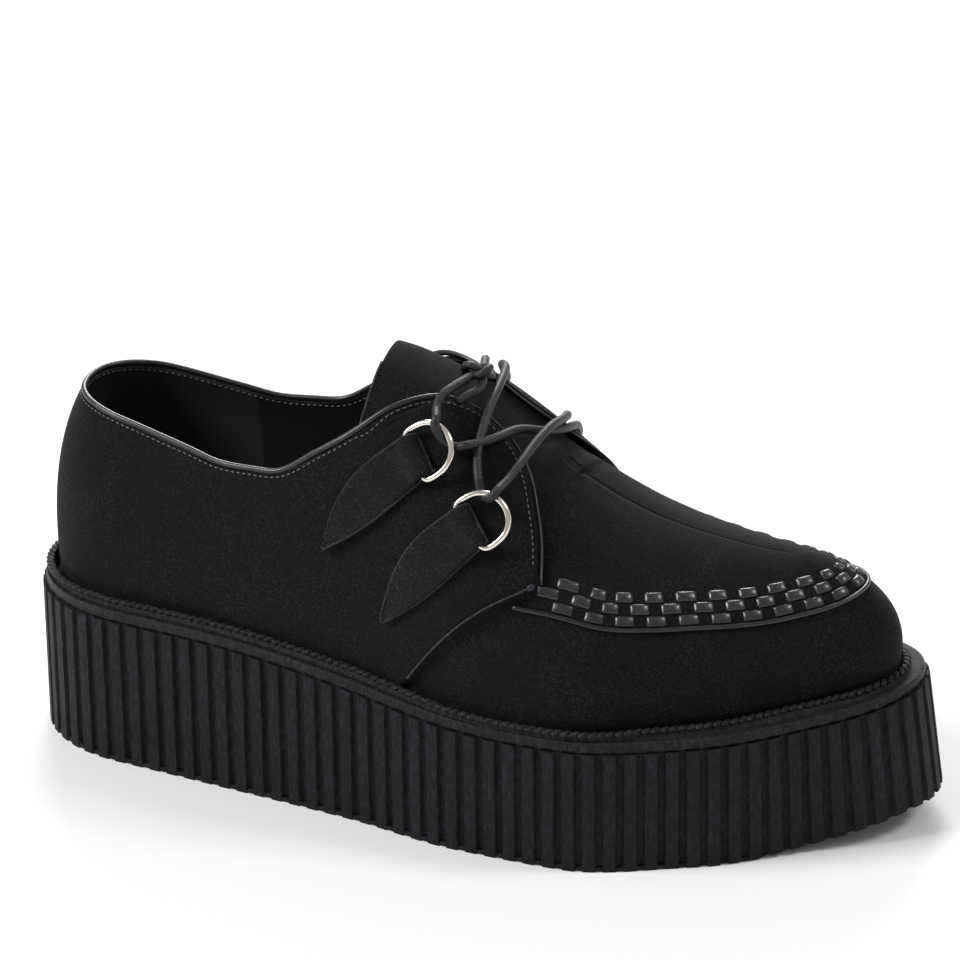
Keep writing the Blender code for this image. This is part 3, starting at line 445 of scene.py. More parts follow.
def copy_of(node_name, piece_name, finish, sharp, levels, crease=1.0):
    """A merged copy of a solid: quads again, its corners creased, then subdivided."""
    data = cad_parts[node_name].data.copy()
    data.materials.clear()
    data.materials.append(finish)
    piece = bpy.data.objects.new(piece_name, data)
    bpy.context.collection.objects.link(piece)
    bpy.ops.object.select_all(action="DESELECT")
    piece.select_set(True)
    bpy.context.view_layer.objects.active = piece
    bpy.ops.object.mode_set(mode="EDIT")
    bpy.ops.mesh.select_all(action="SELECT")
    bpy.ops.mesh.remove_doubles(threshold=SAME_SPOT)
    bpy.ops.mesh.tris_convert_to_quads(face_threshold=radians(50), shape_threshold=radians(70))
    if sharp:
        bpy.ops.mesh.select_all(action="DESELECT")
        bpy.ops.mesh.select_mode(type="EDGE")
        bpy.ops.mesh.edges_select_sharp(sharpness=sharp)
        bpy.ops.transform.edge_crease(value=crease)
    bpy.ops.object.mode_set(mode="OBJECT")
    if levels:
        smooth = piece.modifiers.new("smooth", "SUBSURF")
        smooth.levels = smooth.render_levels = levels
        bpy.ops.object.modifier_apply(modifier=smooth.name)
    piece.data.shade_smooth()
    return piece


NICKEL = nickel_material()
for name in ("ring_lateral_upper", "ring_lateral_lower", "ring_medial_upper", "ring_medial_lower"):
    ring = copy_of(name, name + "_wire", NICKEL, None, 2)
    bpy.ops.object.mode_set(mode="EDIT")
    bpy.ops.mesh.select_all(action="SELECT")
    bpy.ops.transform.shrink_fatten(value=RING_SWELL)
    bpy.ops.object.mode_set(mode="OBJECT")
    kept(ring, "nickel", name)


# Upper: black suede, cut as vamp, apron and two quarters, and lasted as one hollow wall with a dark
# smooth lining. The quarters lie over the vamp as a step, and a few soft creases show where it bends.
SUEDE_COLOUR = (0.0028, 0.0029, 0.0032)
SUEDE_LIFTED = (0.0155, 0.0163, 0.0178)
LINING_COLOUR = (0.0035, 0.0035, 0.0036)
HEEL_LINING_COLOUR = (0.0150, 0.0147, 0.0138)
LINING_SEAM = -0.088
SEAM_BLUR = 0.0004
CREASE_FADE = 0.3
NAP_GRAIN, NAP_PATCH, LINING_GRAIN = 1300.0, 70.0, 1200.0
SPINE_ENDS = (-0.120, 0.110)
SPINE_Y, SPINE_TURN, SPINE_BEND, SPINE_BELOW = 0.002, 0.12, 0.060, 0.012
# Start, end, depth and width of each crease
CREASES = [
    ((0.052, -0.030, 0.094), (0.056, 0.028, 0.094), 0.0005, 0.0050),
    ((0.064, -0.026, 0.089), (0.067, 0.030, 0.089), 0.0004, 0.0045),
    ((-0.070, -0.036, 0.092), (-0.040, -0.042, 0.082), 0.0006, 0.0060),
    ((-0.128, -0.022, 0.112), (-0.100, -0.034, 0.100), 0.0004, 0.0060),
    ((-0.070, 0.040, 0.092), (-0.040, 0.046, 0.082), 0.0006, 0.0060),
    ((0.010, -0.052, 0.070), (0.030, -0.053, 0.084), 0.0004, 0.0055),
]


def nap_group():
    """The nap of suede: a fine speckle of lifted fibres over cloudy patches where it was brushed."""
    group, enter, leave = effect_group("suede_nap", ["Grain", "Patch"], ["Mask", "Height"])
    grain = node(group, "TexNoise", {"Vector": enter["Vector"], "Scale": enter["Grain"], "Detail": 4.0,
                                     "Roughness": 0.65})
    patch = node(group, "TexNoise", {"Vector": enter["Vector"], "Scale": enter["Patch"], "Detail": 3.0,
                                     "Roughness": 0.55})
    speck = node(group, "MapRange", {"Value": grain.outputs[0], "From Min": 0.48, "From Max": 0.72})
    cloud = node(group, "MapRange", {"Value": patch.outputs[0], "From Min": 0.35, "From Max": 0.68})
    mask = node(group, "Math", {0: speck.outputs[0], 1: cloud.outputs[0]}, operation="MULTIPLY")
    both = node(group, "Math", {0: speck.outputs[0], 1: 0.45, 2: mask.outputs[0]}, operation="MULTIPLY_ADD")
    group.links.new(both.outputs[0], leave["Mask"])
    group.links.new(grain.outputs[0], leave["Height"])
    return group


NAP = nap_group()


def suede_material(name, colour, lifted, sheen):
    made, tree, shader = principled(name, colour, 0.92, Sheen_Weight=sheen, Sheen_Roughness=0.35,
                                    Sheen_Tint=(0.55, 0.58, 0.62, 1.0), Specular_IOR_Level=0.15)
    nap = effect(tree, NAP, Grain=NAP_GRAIN, Patch=NAP_PATCH)
    mixed(tree, shader, nap["Mask"], colour, lifted)
    embossed(tree, shader, nap["Height"], 0.4, 0.0005)
    return made


def lining_material():
    """Smooth dark lining, in two parts: the heel's is a shade lighter, and ends at an upright seam."""
    made, tree, shader = principled("dark_lining", LINING_COLOUR, 0.65, Specular_IOR_Level=0.3)
    coords = node(tree, "TexCoord", {}).outputs["Object"]
    parts = node(tree, "SeparateXYZ", {"Vector": coords})
    heel = node(tree, "MapRange", {"Value": parts.outputs["X"], "From Min": LINING_SEAM - SEAM_BLUR,
                                   "From Max": LINING_SEAM + SEAM_BLUR, "To Min": 1.0, "To Max": 0.0})
    mixed(tree, shader, heel.outputs[0], LINING_COLOUR, HEEL_LINING_COLOUR)
    embossed(tree, shader, effect(tree, FINE_GRAIN, Grain=LINING_GRAIN)["Height"], 0.2, 0.0003)
    return made


SUEDE = suede_material("black_suede", SUEDE_COLOUR, SUEDE_LIFTED, 0.06)
LINING = lining_material()

upper = copy_of("upper", "upper_suede", SUEDE, radians(38), 2, 0.9)
data = upper.data
data.materials.append(LINING)


def away_from_foot(spot):
    """The way from the foot's middle line, a little below a point of the wall, to that point."""
    x = min(max(spot.x, SPINE_ENDS[0]), SPINE_ENDS[1])
    middle = Vector((x, SPINE_Y + SPINE_TURN * max(0.0, x - SPINE_BEND), spot.z - SPINE_BELOW))
    return (spot - middle).normalized()


def is_inner(spot, normal):
    return away_from_foot(spot).dot(normal) < 0


for face in data.polygons:
    if is_inner(face.center, face.normal):
        face.material_index = 1

# The apron's middle is one smooth sheet, with no ridge where the two sides of the last meet
MIDDLE_WIDTH = 0.013
MIDDLE_START = 0.041
MIDDLE_EASING = 30
MIDDLE_FACING = 0.5
bm = bmesh.new()
bm.from_mesh(data)
middle_verts = []
for vertex in bm.verts:
    x, y, _ = vertex.co
    aside = abs(y - SPINE_Y - SPINE_TURN * max(0.0, x - SPINE_BEND))
    if x > MIDDLE_START and aside < MIDDLE_WIDTH and vertex.normal.z > MIDDLE_FACING:
        middle_verts.append(vertex)
for _ in range(MIDDLE_EASING):
    bmesh.ops.smooth_vert(bm, verts=middle_verts, factor=0.5, use_axis_z=True)
bm.to_mesh(data)
bm.free()
data.shade_smooth()

normals = [v.normal.copy() for v in data.vertices]
for start, end, depth, width in CREASES:
    start, end = Vector(start), Vector(end)
    way = end - start
    for vertex, normal in zip(data.vertices, normals):
        if is_inner(vertex.co, normal):
            continue
        share = (vertex.co - start).dot(way) / way.length_squared
        if -CREASE_FADE < share < 1 + CREASE_FADE:
            miss = (vertex.co - start - way * share).length
            fade = sin(pi * (share + CREASE_FADE) / (1 + 2 * CREASE_FADE)) ** 2
            vertex.co -= normal * depth * fade * np.exp(-(miss / width) ** 2)
data.update()
kept(upper, "suede", "upper")


def tree_of(piece, slot):
    """A search tree of a piece's faces that have one material slot."""
    faces = [tuple(p.vertices) for p in piece.data.polygons if p.material_index == slot]
    return BVHTree.FromPolygons([v.co for v in piece.data.vertices], faces)


OUTSIDE, INSIDE = tree_of(upper, 0), tree_of(upper, 1)


def on_upper(spot, tree=OUTSIDE):
    """The nearest point of the upper's face, and its normal there."""
    hit, normal, _, _ = tree.find_nearest(spot)
    return hit, normal


def rings_of(node_name, start, sides):
    """The centre line of a CAD tube, read ring by ring from one of its ends."""
    bm = merged(node_name)
    bm.verts.index_update()
    first = min(bm.verts, key=lambda v: (v.co - Vector(start)).length)
    ring = sorted(bm.verts, key=lambda v: (v.co - first.co).length)[:sides]
    line, seen = [], set()
    while ring:
        line.append(sum((v.co for v in ring), Vector()) / len(ring))
        seen.update(ring)
        ring = sorted({e.other_vert(v) for v in ring for e in v.link_edges} - seen, key=lambda v: v.index)
    bm.free()
    return line


# Topline piping: a narrow cord covered in patent leather, sewn round the collar and down both flaps,
# where it thins out to a plain turned edge.
PIPING_RADIUS = 0.0010
FLAP_EDGE_SHARE = 0.42
FLAP_START = -0.010
FLAP_THINNING = 0.020
TOPLINE_STEP = 0.0016
SOLID_TUBE_SIDES = 6
PATENT_COLOUR = (0.0035, 0.0035, 0.0040)
PATENT_GRAIN = 900.0


def patent_material():
    made, tree, shader = principled("patent_piping", PATENT_COLOUR, 0.42, Coat_Weight=0.16,
                                    Coat_Roughness=0.20)
    embossed(tree, shader, effect(tree, FINE_GRAIN, Grain=PATENT_GRAIN)["Height"], 0.25, 0.0002)
    return made


PATENT = patent_material()
low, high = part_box("topline_piping")
topline = rings_of("topline_piping", (high.x, low.y, low.z), SOLID_TUBE_SIDES)
topline_path = smooth_path(topline, TOPLINE_STEP)
widths = []
for spot in topline_path:
    thinning = max(0.0, (spot.x - FLAP_START) / FLAP_THINNING)
    widths.append(max(FLAP_EDGE_SHARE, 1.0 - thinning))
piping = tube("topline_piping_bead", topline_path, PIPING_RADIUS, PATENT, 10, widths=widths)
kept(piping, "patent_piping", "topline_piping")


# Apron piping: the same patent bead, a little thinner, caught in the raised seam between the apron
# and the vamp's wall. It follows the solid's line, pressed on to the suede.
APRON_PIPING_RADIUS = 0.0008
low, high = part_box("apron_piping")
seam = rings_of("apron_piping", (low.x, low.y, low.z), SOLID_TUBE_SIDES)
pressed = map(on_upper, smooth_path(seam, PATH_STEP))
seam_path = [hit + normal * APRON_PIPING_RADIUS * 0.7 for hit, normal in pressed]
seam_path = smooth_path(seam_path[::3] + [seam_path[-1]], PATH_STEP)
bead = tube("apron_piping_bead", seam_path, APRON_PIPING_RADIUS, PATENT, 10)
kept(bead, "patent_piping", "apron_piping")


# Stitching: waxed thread in lock stitch, each stitch a short bead sunk in the suede. One row holds
# the edge of the collar and the flaps outside, and one holds the lining inside.
STITCH_PITCH = 0.0021
STITCH_LENGTH = 0.0015
STITCH_WIDTH = 0.00046
COLLAR_STITCH_DROP = 0.0021
COLLAR_STITCH_OUT = 0.0020
LINING_STITCH_DROP = 0.0024
LINING_ROW_END = -0.030
FLAP_ENDS = 4
THREAD_COLOUR = (0.085, 0.092, 0.100)


def bead_mesh():
    """One stitch: a small rounded bead along X, a few dozen faces."""
    bpy.ops.mesh.primitive_uv_sphere_add(segments=8, ring_count=6, radius=0.5)
    bead = bpy.context.object
    spots = np.array([v.co for v in bead.data.vertices])
    faces = [tuple(p.vertices) for p in bead.data.polygons]
    bpy.data.objects.remove(bead, do_unlink=True)
    return spots, faces


BEAD_SPOTS, BEAD_FACES = bead_mesh()


def beads(name, places, size, finish):
    """Many small beads joined in one mesh; each place is a spot, the way along and the way up."""
    verts, faces = [], []
    for spot, way, up_way in places:
        way = way.normalized()
        side = up_way.cross(way).normalized()
        turn = np.array([way * size[0], side * size[1], way.cross(side).normalized() * size[2]])
        shift = len(verts) * len(BEAD_SPOTS)
        verts.append(BEAD_SPOTS @ turn + np.array(spot))
        faces += [tuple(i + shift for i in face) for face in BEAD_FACES]
    data = bpy.data.meshes.new(name)
    data.from_pydata(np.concatenate(verts).tolist(), [], faces)
    data.update()
    data.shade_smooth()
    data.materials.append(finish)
    made = bpy.data.objects.new(name, data)
    bpy.context.collection.objects.link(made)
    return made


def stitch_places(path, pitch, tree):
    """A place for each stitch along a path that lies on the upper."""
    spots = smooth_path(path, pitch)
    out = []
    for a, b in zip(spots, spots[1:]):
        hit, normal = on_upper((a + b) / 2, tree)
        out.append((hit, b - a, normal))
    return out


def beside(path, distance, tree, first_guess):
    """A path moved along the upper's face to one side of its own line."""
    out = []
    for i, spot in enumerate(path):
        way = (path[min(i + 1, len(path) - 1)] - path[max(i - 1, 0)]).normalized()
        side = first_guess - way * first_guess.dot(way)
        if out:
            side = out[-1][1] - way * out[-1][1].dot(way)
        _, normal = on_upper(spot + side.normalized() * distance, tree)
        side = (side - normal * side.dot(normal)).normalized()
        side = (side - way * side.dot(way)).normalized()
        hit, _ = on_upper(spot + side * distance, tree)
        out.append((hit, side))
    return [hit for hit, _ in out]


def stitch_row(name, path, tree, guess, distance):
    """A row of stitches beside a path, on one face of the upper."""
    row = beside(path, distance, tree, guess)
    row = smooth_path(row[::2] + [row[-1]], STITCH_PITCH)
    made = beads(name, stitch_places(row, STITCH_PITCH, tree),
                 (STITCH_LENGTH, STITCH_WIDTH, STITCH_WIDTH), THREAD)
    return kept(made, "suede")


THREAD, _, _ = principled("waxed_thread", THREAD_COLOUR, 0.40)
DOWN = Vector((0.0, 0.0, -1.0))
low = min(range(len(topline_path)), key=lambda i: topline_path[i].x)
outer_path = [p + away_from_foot(p) * COLLAR_STITCH_OUT for p in topline_path]
stitch_row("edge_stitching_lateral", outer_path[low:FLAP_ENDS - 1:-1], OUTSIDE, DOWN, COLLAR_STITCH_DROP)
stitch_row("edge_stitching_medial", outer_path[low:-FLAP_ENDS], OUTSIDE, DOWN, COLLAR_STITCH_DROP)
collar = [p for p in topline_path if p.x < LINING_ROW_END]
heel_end = min(range(len(collar)), key=lambda i: collar[i].x)
stitch_row("lining_stitching_lateral", collar[heel_end::-1], INSIDE, DOWN, LINING_STITCH_DROP)
stitch_row("lining_stitching_medial", collar[heel_end:], INSIDE, DOWN, LINING_STITCH_DROP)


# Quarter's front: the raw cut edge of the suede, a shade lighter, down the step from the throat to
# the welt on both sides, and a bar tack at its top where the flap is most strained.
EDGE_RADIUS = 0.00035
STEP_FROM, STEP_TO = Vector((-0.010, 0.0, 0.049)), Vector((0.0352, 0.0, 0.0935))
STEP_REACH = 0.0007
STEP_ANGLE = 0.6
TACK_SIZE = (0.0030, 0.0024, 0.0014)
TACK_LIFT = 0.0003
CUT_COLOUR, CUT_LIFTED = (0.030, 0.032, 0.036), (0.090, 0.094, 0.100)
CUT_EDGE = suede_material("cut_edge", CUT_COLOUR, CUT_LIFTED, 0.10)


def corners_of(node_name, angle):
    """The middles of a CAD node's convex edges that turn by an angle or more."""
    bm = merged(node_name)
    middles = []
    for edge in bm.edges:
        if len(edge.link_faces) == 2 and edge.is_convex and edge.calc_face_angle() >= angle:
            middles.append((edge.verts[0].co + edge.verts[1].co) / 2)
    bm.free()
    return middles


def step_crest(side):
    """The outer corner of the quarter's step, from the throat down."""
    spots = []
    for middle in corners_of("upper", STEP_ANGLE):
        hit, _ = on_upper(middle)
        near_step = STEP_FROM.x < middle.x < STEP_TO.x and STEP_FROM.z < middle.z < STEP_TO.z
        if middle.y * side > 0 and near_step and (hit - middle).length < STEP_REACH:
            spots.append(middle)
    return sorted(spots, key=lambda p: -p.z)


for side, word in ((LATERAL, "lateral"), (MEDIAL, "medial")):
    crest_path = smooth_path(step_crest(side), PATH_STEP)
    edge = tube("quarter_edge_" + word, crest_path, EDGE_RADIUS, CUT_EDGE, 8)
    kept(edge, "suede")
    hit, normal = on_upper(crest_path[0])
    place = (hit + normal * TACK_LIFT, crest_path[1] - crest_path[0], normal)
    tack = beads("bar_tack_" + word, [place], TACK_SIZE, CUT_EDGE)
    kept(tack, "suede")


# Woven band: strips of glazed leather drawn in and out of slits in the apron, three rows wide, each
# row half a step on from the next. Each strip that shows is a shallow pillow that dives at its ends.
WEAVE_PITCH = 0.0106
WEAVE_TILE = 0.0072
WEAVE_ROW = 0.0042
WEAVE_WIDTH = 0.0037
WEAVE_RISE = 0.0008
WEAVE_INSET = 0.0029
WEAVE_ROWS = 3
WEAVE_START = 0.012
WEAVE_ENDS = 0.020
SEAM_STEP = 0.0005
APRON_MIDDLE = Vector((0.075, 0.004, 0.110))
STRIP_COLOUR = (0.0085, 0.0102, 0.0124)
STRIP_GRAIN = 1100.0

# The pillow's rise along the strip and its crown across it, at shares of the length and the width
STRIP_LONG = [0.0, 0.06, 0.16, 0.38, 0.62, 0.84, 0.94, 1.0]
STRIP_RISE = [-0.9, 0.15, 0.72, 1.0, 1.0, 0.72, 0.15, -0.9]
STRIP_WIDE = [-0.5, -0.47, -0.28, 0.0, 0.28, 0.47, 0.5]
STRIP_CROWN = [-0.35, 0.60, 0.92, 1.0, 0.92, 0.60, -0.35]


def strip_material():
    made, tree, shader = principled("glazed_strip", STRIP_COLOUR, 0.38, Coat_Weight=0.3,
                                    Coat_Roughness=0.20)
    grain = effect(tree, FINE_GRAIN, Grain=STRIP_GRAIN)["Height"]
    embossed(tree, shader, grain, 0.35, 0.0003)
    rough = node(tree, "MapRange", {"Value": grain, "To Min": 0.24, "To Max": 0.50})
    tree.links.new(rough.outputs[0], shader.inputs["Roughness"])
    return made


STRIP = strip_material()
fine_seam = smooth_path(seam_path[::4] + [seam_path[-1]], SEAM_STEP)


def band_spot(run, inset):
    """The point of the apron's face at a run along the seam and an inset from it."""
    i = min(max(run / SEAM_STEP, 0.0), len(fine_seam) - 1.001)
    k = int(i)
    spot = fine_seam[k].lerp(fine_seam[k + 1], i - k)
    _, normal = on_upper(fine_seam[k])
    side = normal.cross(fine_seam[k + 1] - fine_seam[max(k - 1, 0)]).normalized()
    if side.dot(APRON_MIDDLE - spot) < 0:
        side = -side
    return on_upper(spot + side * inset)


def sheet(bm, grid):
    """Quads between rows of points."""
    rows = [[bm.verts.new(p) for p in line] for line in grid]
    for near, far in zip(rows, rows[1:]):
        for a, b, c, d in zip(near, near[1:], far[1:], far):
            bm.faces.new((a, b, c, d))


def faced_up(bm):
    """Turn the faces of built sheets, all wound one way, to look up."""
    bm.normal_update()
    if sum(f.normal.z * f.calc_area() for f in bm.faces) < 0:
        bmesh.ops.reverse_faces(bm, faces=bm.faces)
    return bm


bm = bmesh.new()
seam_length = length_of(fine_seam)
for row in range(WEAVE_ROWS):
    inset = WEAVE_INSET + row * WEAVE_ROW
    start = WEAVE_START - (WEAVE_PITCH / 2 if row % 2 else 0.0)
    for tile in range(int((seam_length - WEAVE_ENDS) / WEAVE_PITCH)):
        run = start + tile * WEAVE_PITCH
        grid = []
        for share, rise in zip(STRIP_LONG, STRIP_RISE):
            line = []
            for wide, crown in zip(STRIP_WIDE, STRIP_CROWN):
                hit, normal = band_spot(run + share * WEAVE_TILE, inset + wide * WEAVE_WIDTH)
                lift = min(rise, crown) if min(rise, crown) < 0 else rise * crown
                line.append(hit + normal * WEAVE_RISE * lift)
            grid.append(line)
        sheet(bm, grid)
strips = shaped(faced_up(bm), "woven_strips", STRIP)
kept(strips, "woven_strip", "woven_band")


# Tongue: one arched piece of the same suede under both flaps, sewn in at the throat and cut raw
# at its top and sides.
tongue = copy_of("tongue", "tongue_suede", SUEDE, radians(50), 2, 0.6)
kept(tongue, "suede", "tongue")

# Its raw cut edge at the top catches the light on the near side: a lighter tube in the cut edge's finish is
# laid there only, the edge itself with a painted highlight on it
TONGUE_EDGE = 0.0004
EDGE_SPACING = 0.004
EDGE_END = Vector((-0.012, -0.004))
EDGE_ANGLE = 0.8
edge_spots = {}
for middle in corners_of("tongue", EDGE_ANGLE):
    k = round(middle.z / EDGE_SPACING)
    near_side = middle.x < EDGE_END.x and middle.y < EDGE_END.y
    if near_side and (k not in edge_spots or middle.y < edge_spots[k].y):
        edge_spots[k] = middle
edge_line = [edge_spots[k] for k in sorted(edge_spots)]
tongue_edge_highlight = tube("tongue_cut_edge_highlight", smooth_path(edge_line, PATH_STEP), TONGUE_EDGE, CUT_EDGE, 8)
kept(tongue_edge_highlight, "suede")

# It is skived where it is sewn under the apron, so a gentle ramp closes the step between them
RAMP_BACK = 0.009
RAMP_PAST = 0.0020
RAMP_SUNK = 1.8
RAMP_ROWS = 8
RAMP_LIFT = 0.00012
RAMP_MARGIN = 0.0015
RAMP_LEAST = 0.0008
RAMP_AHEAD = Vector((0.003, 0.0, 0.0))
SEAM_START = 0.025
SEAM_REACH = 0.0017
SEAM_FACING = 0.2
SEAM_SPACING = 0.003
ABOVE = 0.001
tongue_tree = tree_of(tongue, 0)
bm = merged("tongue")
seam_spots = []
for vertex in bm.verts:
    hit, normal = on_upper(vertex.co)
    near_seam = vertex.co.x > SEAM_START and (hit - vertex.co).length < SEAM_REACH
    if near_seam and normal.z > SEAM_FACING:
        seam_spots.append(hit)
bm.free()
seam_spots.sort(key=lambda p: p.y)
joined = seam_spots[:1]
for spot in seam_spots[1:]:
    if abs(spot.y - joined[-1].y) > SEAM_SPACING:
        joined.append(spot)
throat = smooth_path(joined, PATH_STEP)
grid = []
for i, spot in enumerate(throat):
    room = min((p - spot).length for p in topline_path) - RAMP_MARGIN
    reach = min(RAMP_BACK, room)
    if reach < RAMP_LEAST:
        continue
    way = (throat[min(i + 1, len(throat) - 1)] - throat[max(i - 1, 0)]).normalized()
    _, normal = on_upper(spot + RAMP_AHEAD)
    back_way = normal.cross(way)
    if back_way.x > 0:
        back_way = -back_way
    foot = tongue_tree.find_nearest(spot + normal * ABOVE)[0]
    step = max((spot - foot).dot(normal), 0.0)
    line = []
    for row in range(RAMP_ROWS):
        share = row / (RAMP_ROWS - 1)
        base = tongue_tree.find_nearest(spot + back_way * reach * (1 - share) + normal * ABOVE)[0]
        lift = step * share * share * (3 - 2 * share) + RAMP_LIFT * (1 if row else -2)
        line.append(base + normal * lift)
    line.append(on_upper(spot - back_way * RAMP_PAST)[0] + normal * RAMP_LIFT)
    line.append(on_upper(spot - back_way * RAMP_PAST * RAMP_SUNK)[0] - normal * RAMP_LIFT * 2)
    grid.append(line)
bm = bmesh.new()
sheet(bm, grid)
ramp = shaped(faced_up(bm), "throat_ramp", SUEDE)
kept(ramp, "suede")


# Tabs: four leaves of thicker suede with a turned edge, sewn to the quarters and folded round the
# rings' straight sides.
TAB_COLOUR, TAB_LIFTED = (0.0062, 0.0063, 0.0064), (0.0245, 0.0248, 0.0250)
TAB_EDGE_COLOUR, TAB_EDGE_LIFTED = (0.018, 0.0185, 0.019), (0.060, 0.061, 0.063)
TAB_SUEDE = suede_material("tab_suede", TAB_COLOUR, TAB_LIFTED, 0.08)
TAB_EDGE = suede_material("tab_edge", TAB_EDGE_COLOUR, TAB_EDGE_LIFTED, 0.10)
TAB_RIM = 0.0005


def rim_of(piece):
    """The rim of a leaf: the hull of its points in its own plane."""
    spots = np.array([v.co for v in piece.data.vertices])
    middle = spots.mean(axis=0)
    axes = np.linalg.svd(spots - middle, full_matrices=False)[2]
    flat = (spots - middle) @ axes[:2].T
    return [Vector(spots[i]) for i in convex_hull_2d([Vector(p) for p in flat])]


for name in ("tab_lateral_upper", "tab_lateral_lower", "tab_medial_upper", "tab_medial_lower"):
    tab = copy_of(name, name + "_leaf", TAB_SUEDE, radians(60), 2, 0.75)
    kept(tab, "suede", name)
    rim_path = smooth_path(rim_of(tab), PATH_STEP, closed=True)
    edge = tube(name + "_turned_edge", rim_path, TAB_RIM, TAB_EDGE, 8, closed=True)
    kept(edge, "suede")


# Sole: one moulding of blown rubber, ribbed all round, dull and slightly crinkled, cemented under
# the welt. Its ribs are the solid's own, with their corners rounded.
SOLE_COLOUR, SOLE_PALE = (0.0020, 0.0027, 0.0036), (0.0175, 0.0212, 0.0265)
RIB_ROUND = 0.0012
CRINKLE, CRINKLE_CLOUD = 720.0, 60.0
CRINKLE_STRETCH = (1.0, 1.0, 0.45)


def crinkle_group():
    """The crinkle of moulded rubber: upright grains, pale where they stand up, over faint clouds."""
    group, enter, leave = effect_group("rubber_crinkle", ["Grain", "Cloud"], ["Mask", "Height"])
    stretch = node(group, "Mapping", {"Vector": enter["Vector"], "Scale": CRINKLE_STRETCH})
    grain = node(group, "TexNoise", {"Vector": stretch.outputs[0], "Scale": enter["Grain"],
                                     "Detail": 4.0, "Roughness": 0.75})
    cloud = node(group, "TexNoise", {"Vector": enter["Vector"], "Scale": enter["Cloud"], "Detail": 3.0})
    speck = node(group, "MapRange", {"Value": grain.outputs[0], "From Min": 0.47, "From Max": 0.62})
    both = node(group, "Math", {0: speck.outputs[0], 1: cloud.outputs[0]}, operation="MULTIPLY")
    group.links.new(both.outputs[0], leave["Mask"])
    group.links.new(grain.outputs[0], leave["Height"])
    return group


RUBBER_CRINKLE = crinkle_group()


def rubber_material(name, colour, pale, roughness):
    made, tree, shader = principled(name, colour, roughness, Specular_IOR_Level=0.22)
    crinkle = effect(tree, RUBBER_CRINKLE, Grain=CRINKLE, Cloud=CRINKLE_CLOUD)
    mixed(tree, shader, crinkle["Mask"], colour, pale)
    embossed(tree, shader, crinkle["Height"], 0.9, 0.0010)
    return made


SOLE_RUBBER = rubber_material("blown_rubber", SOLE_COLOUR, SOLE_PALE, 0.62)
sole = copy_of("sole", "sole_ribbed", SOLE_RUBBER, None, 0)
rounding = sole.modifiers.new("ribs", "BEVEL")
rounding.width = RIB_ROUND
rounding.segments = 3
rounding.limit_method = "ANGLE"
rounding.angle_limit = radians(25)
bpy.context.view_layer.objects.active = sole
bpy.ops.object.modifier_apply(modifier=rounding.name)
sole.data.shade_smooth()
sole.data.set_sharp_from_angle(angle=radians(35))
kept(sole, "platform_rubber", "sole")

# The ribs run out in a low rounded lip, so the bottom edge is smooth
LIP_RADIUS = 0.0009
LIP_STATIONS = 150
LIP_HEIGHT = 0.0012
LIP_SINK = LIP_RADIUS * 1.1
LIP_EASING = 6
LIP_STEP = 0.002
SOLE_STRETCH = 2.6
SOLE_ROUND = 0.012
rim = [v.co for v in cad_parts["sole"].data.vertices if v.co.z < LIP_HEIGHT]
stations = {}
for spot in rim:
    middle_x = min(max(spot.x, SPINE_ENDS[0] + SOLE_ROUND), SPINE_ENDS[1] - SOLE_ROUND)
    out_way = Vector((spot.x - middle_x, spot.y - SPINE_Y, 0.0))
    turn = np.arctan2(spot.y - SPINE_Y, spot.x / SOLE_STRETCH)
    k = int((turn + pi) / (2 * pi) * LIP_STATIONS) % LIP_STATIONS
    if k not in stations or out_way.length > stations[k][0]:
        stations[k] = (out_way.length, out_way.normalized(), spot)
lip = []
for k in sorted(stations):
    _, out_way, spot = stations[k]
    lip.append(Vector((spot.x, spot.y, LIP_RADIUS)) - out_way * LIP_SINK)
lip_path = eased(smooth_path(lip, LIP_STEP, closed=True), LIP_EASING)
lip_tube = tube("sole_lip", lip_path, LIP_RADIUS, SOLE_RUBBER, 10, closed=True)
kept(lip_tube, "platform_rubber")


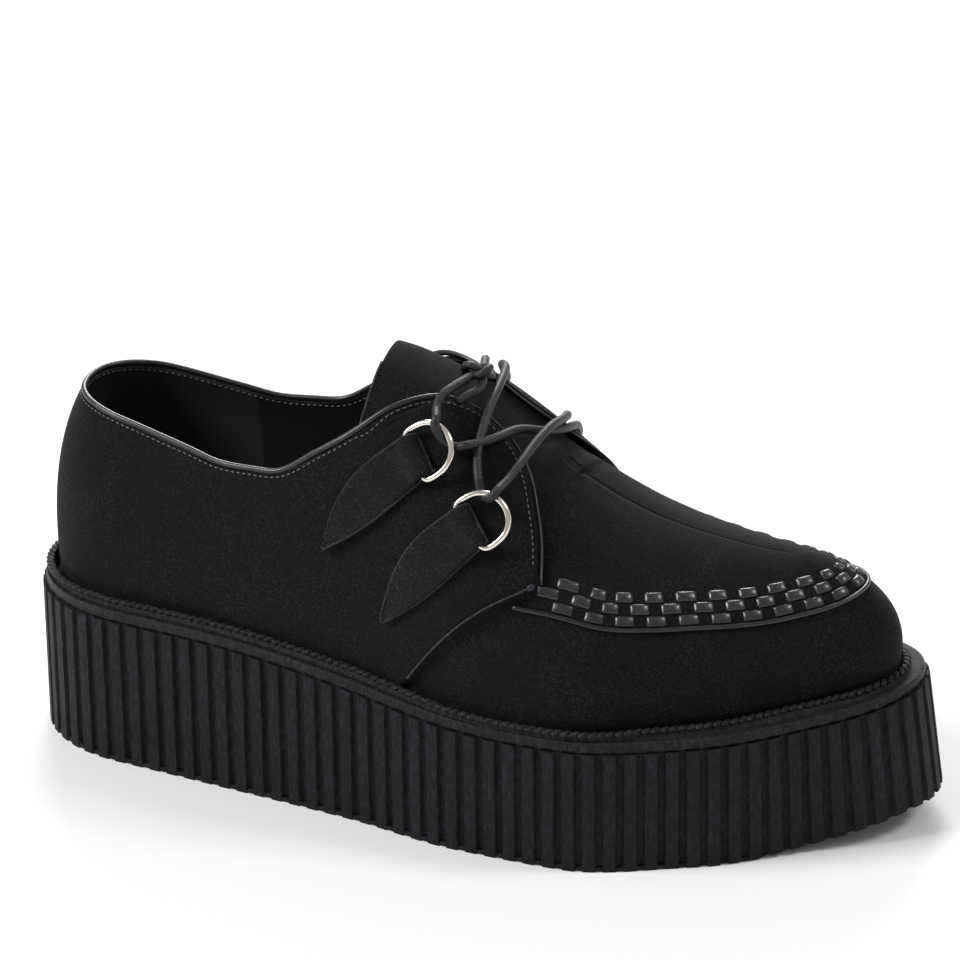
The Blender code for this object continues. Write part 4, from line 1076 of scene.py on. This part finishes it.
# Welt: a strip of harder rubber cemented round the top of the sole, with a ridge of slanted cord
# stitches against the upper.
WELT_COLOUR, WELT_PALE = (0.0030, 0.0034, 0.0040), (0.030, 0.033, 0.038)
CORD_COLOUR, CORD_PALE = (0.0060, 0.0066, 0.0074), (0.052, 0.055, 0.060)
WELT_RUBBER = rubber_material("welt_rubber", WELT_COLOUR, WELT_PALE, 0.44)
WELT_CORD = rubber_material("welt_stitching", CORD_COLOUR, CORD_PALE, 0.34)
CREST_SPACING = 0.0062
WELT_BEAD_PITCH = 0.0029
WELT_BEAD = (0.0046, 0.0023, 0.0019)
WELT_SLANT = radians(34)

welt = copy_of("welt", "welt_strip", WELT_RUBBER, radians(60), 2, 0.5)
kept(welt, "welt_rubber", "welt")

bm = merged("welt")
points = [v.co.copy() for v in bm.verts]
bm.free()
crest = []
for p in points:
    near = [q for q in points if (q.xy - p.xy).length < CREST_SPACING]
    if p.z >= max(q.z for q in near) - SAME_SPOT:
        crest.append(p)
crest.sort(key=lambda p: np.arctan2(p.y, p.x))
crest_path = smooth_path(crest, WELT_BEAD_PITCH, closed=True)
places = []
for i, spot in enumerate(crest_path):
    way = (crest_path[(i + 1) % len(crest_path)] - crest_path[i - 1]).normalized()
    upward = Vector((0.0, 0.0, 1.0))
    side = upward.cross(way)
    places.append((spot, way * cos(WELT_SLANT) + side * sin(WELT_SLANT), upward))
ridge = beads("welt_ridge_stitching", places, WELT_BEAD, WELT_CORD)
kept(ridge, "welt_rubber")


# Insole: a thin pale sock of pigskin, glued in over the sole. It shows through the collar.
# It is the solid's own shape, with the skin's pores.
SOCK_COLOUR = (0.62, 0.58, 0.50)
SOCK_PORES = 1400.0


def sock_material():
    made, tree, shader = principled("pale_sock", SOCK_COLOUR, 0.75)
    coords = node(tree, "TexCoord", {}).outputs["Object"]
    pores = node(tree, "TexVoronoi", {"Vector": coords, "Scale": SOCK_PORES})
    embossed(tree, shader, pores.outputs[0], 0.2, 0.0002)
    return made


SOCK = sock_material()
insole = copy_of("insole", "insole_sock", SOCK, radians(50), 0)
kept(insole, "insole_lining", "insole")
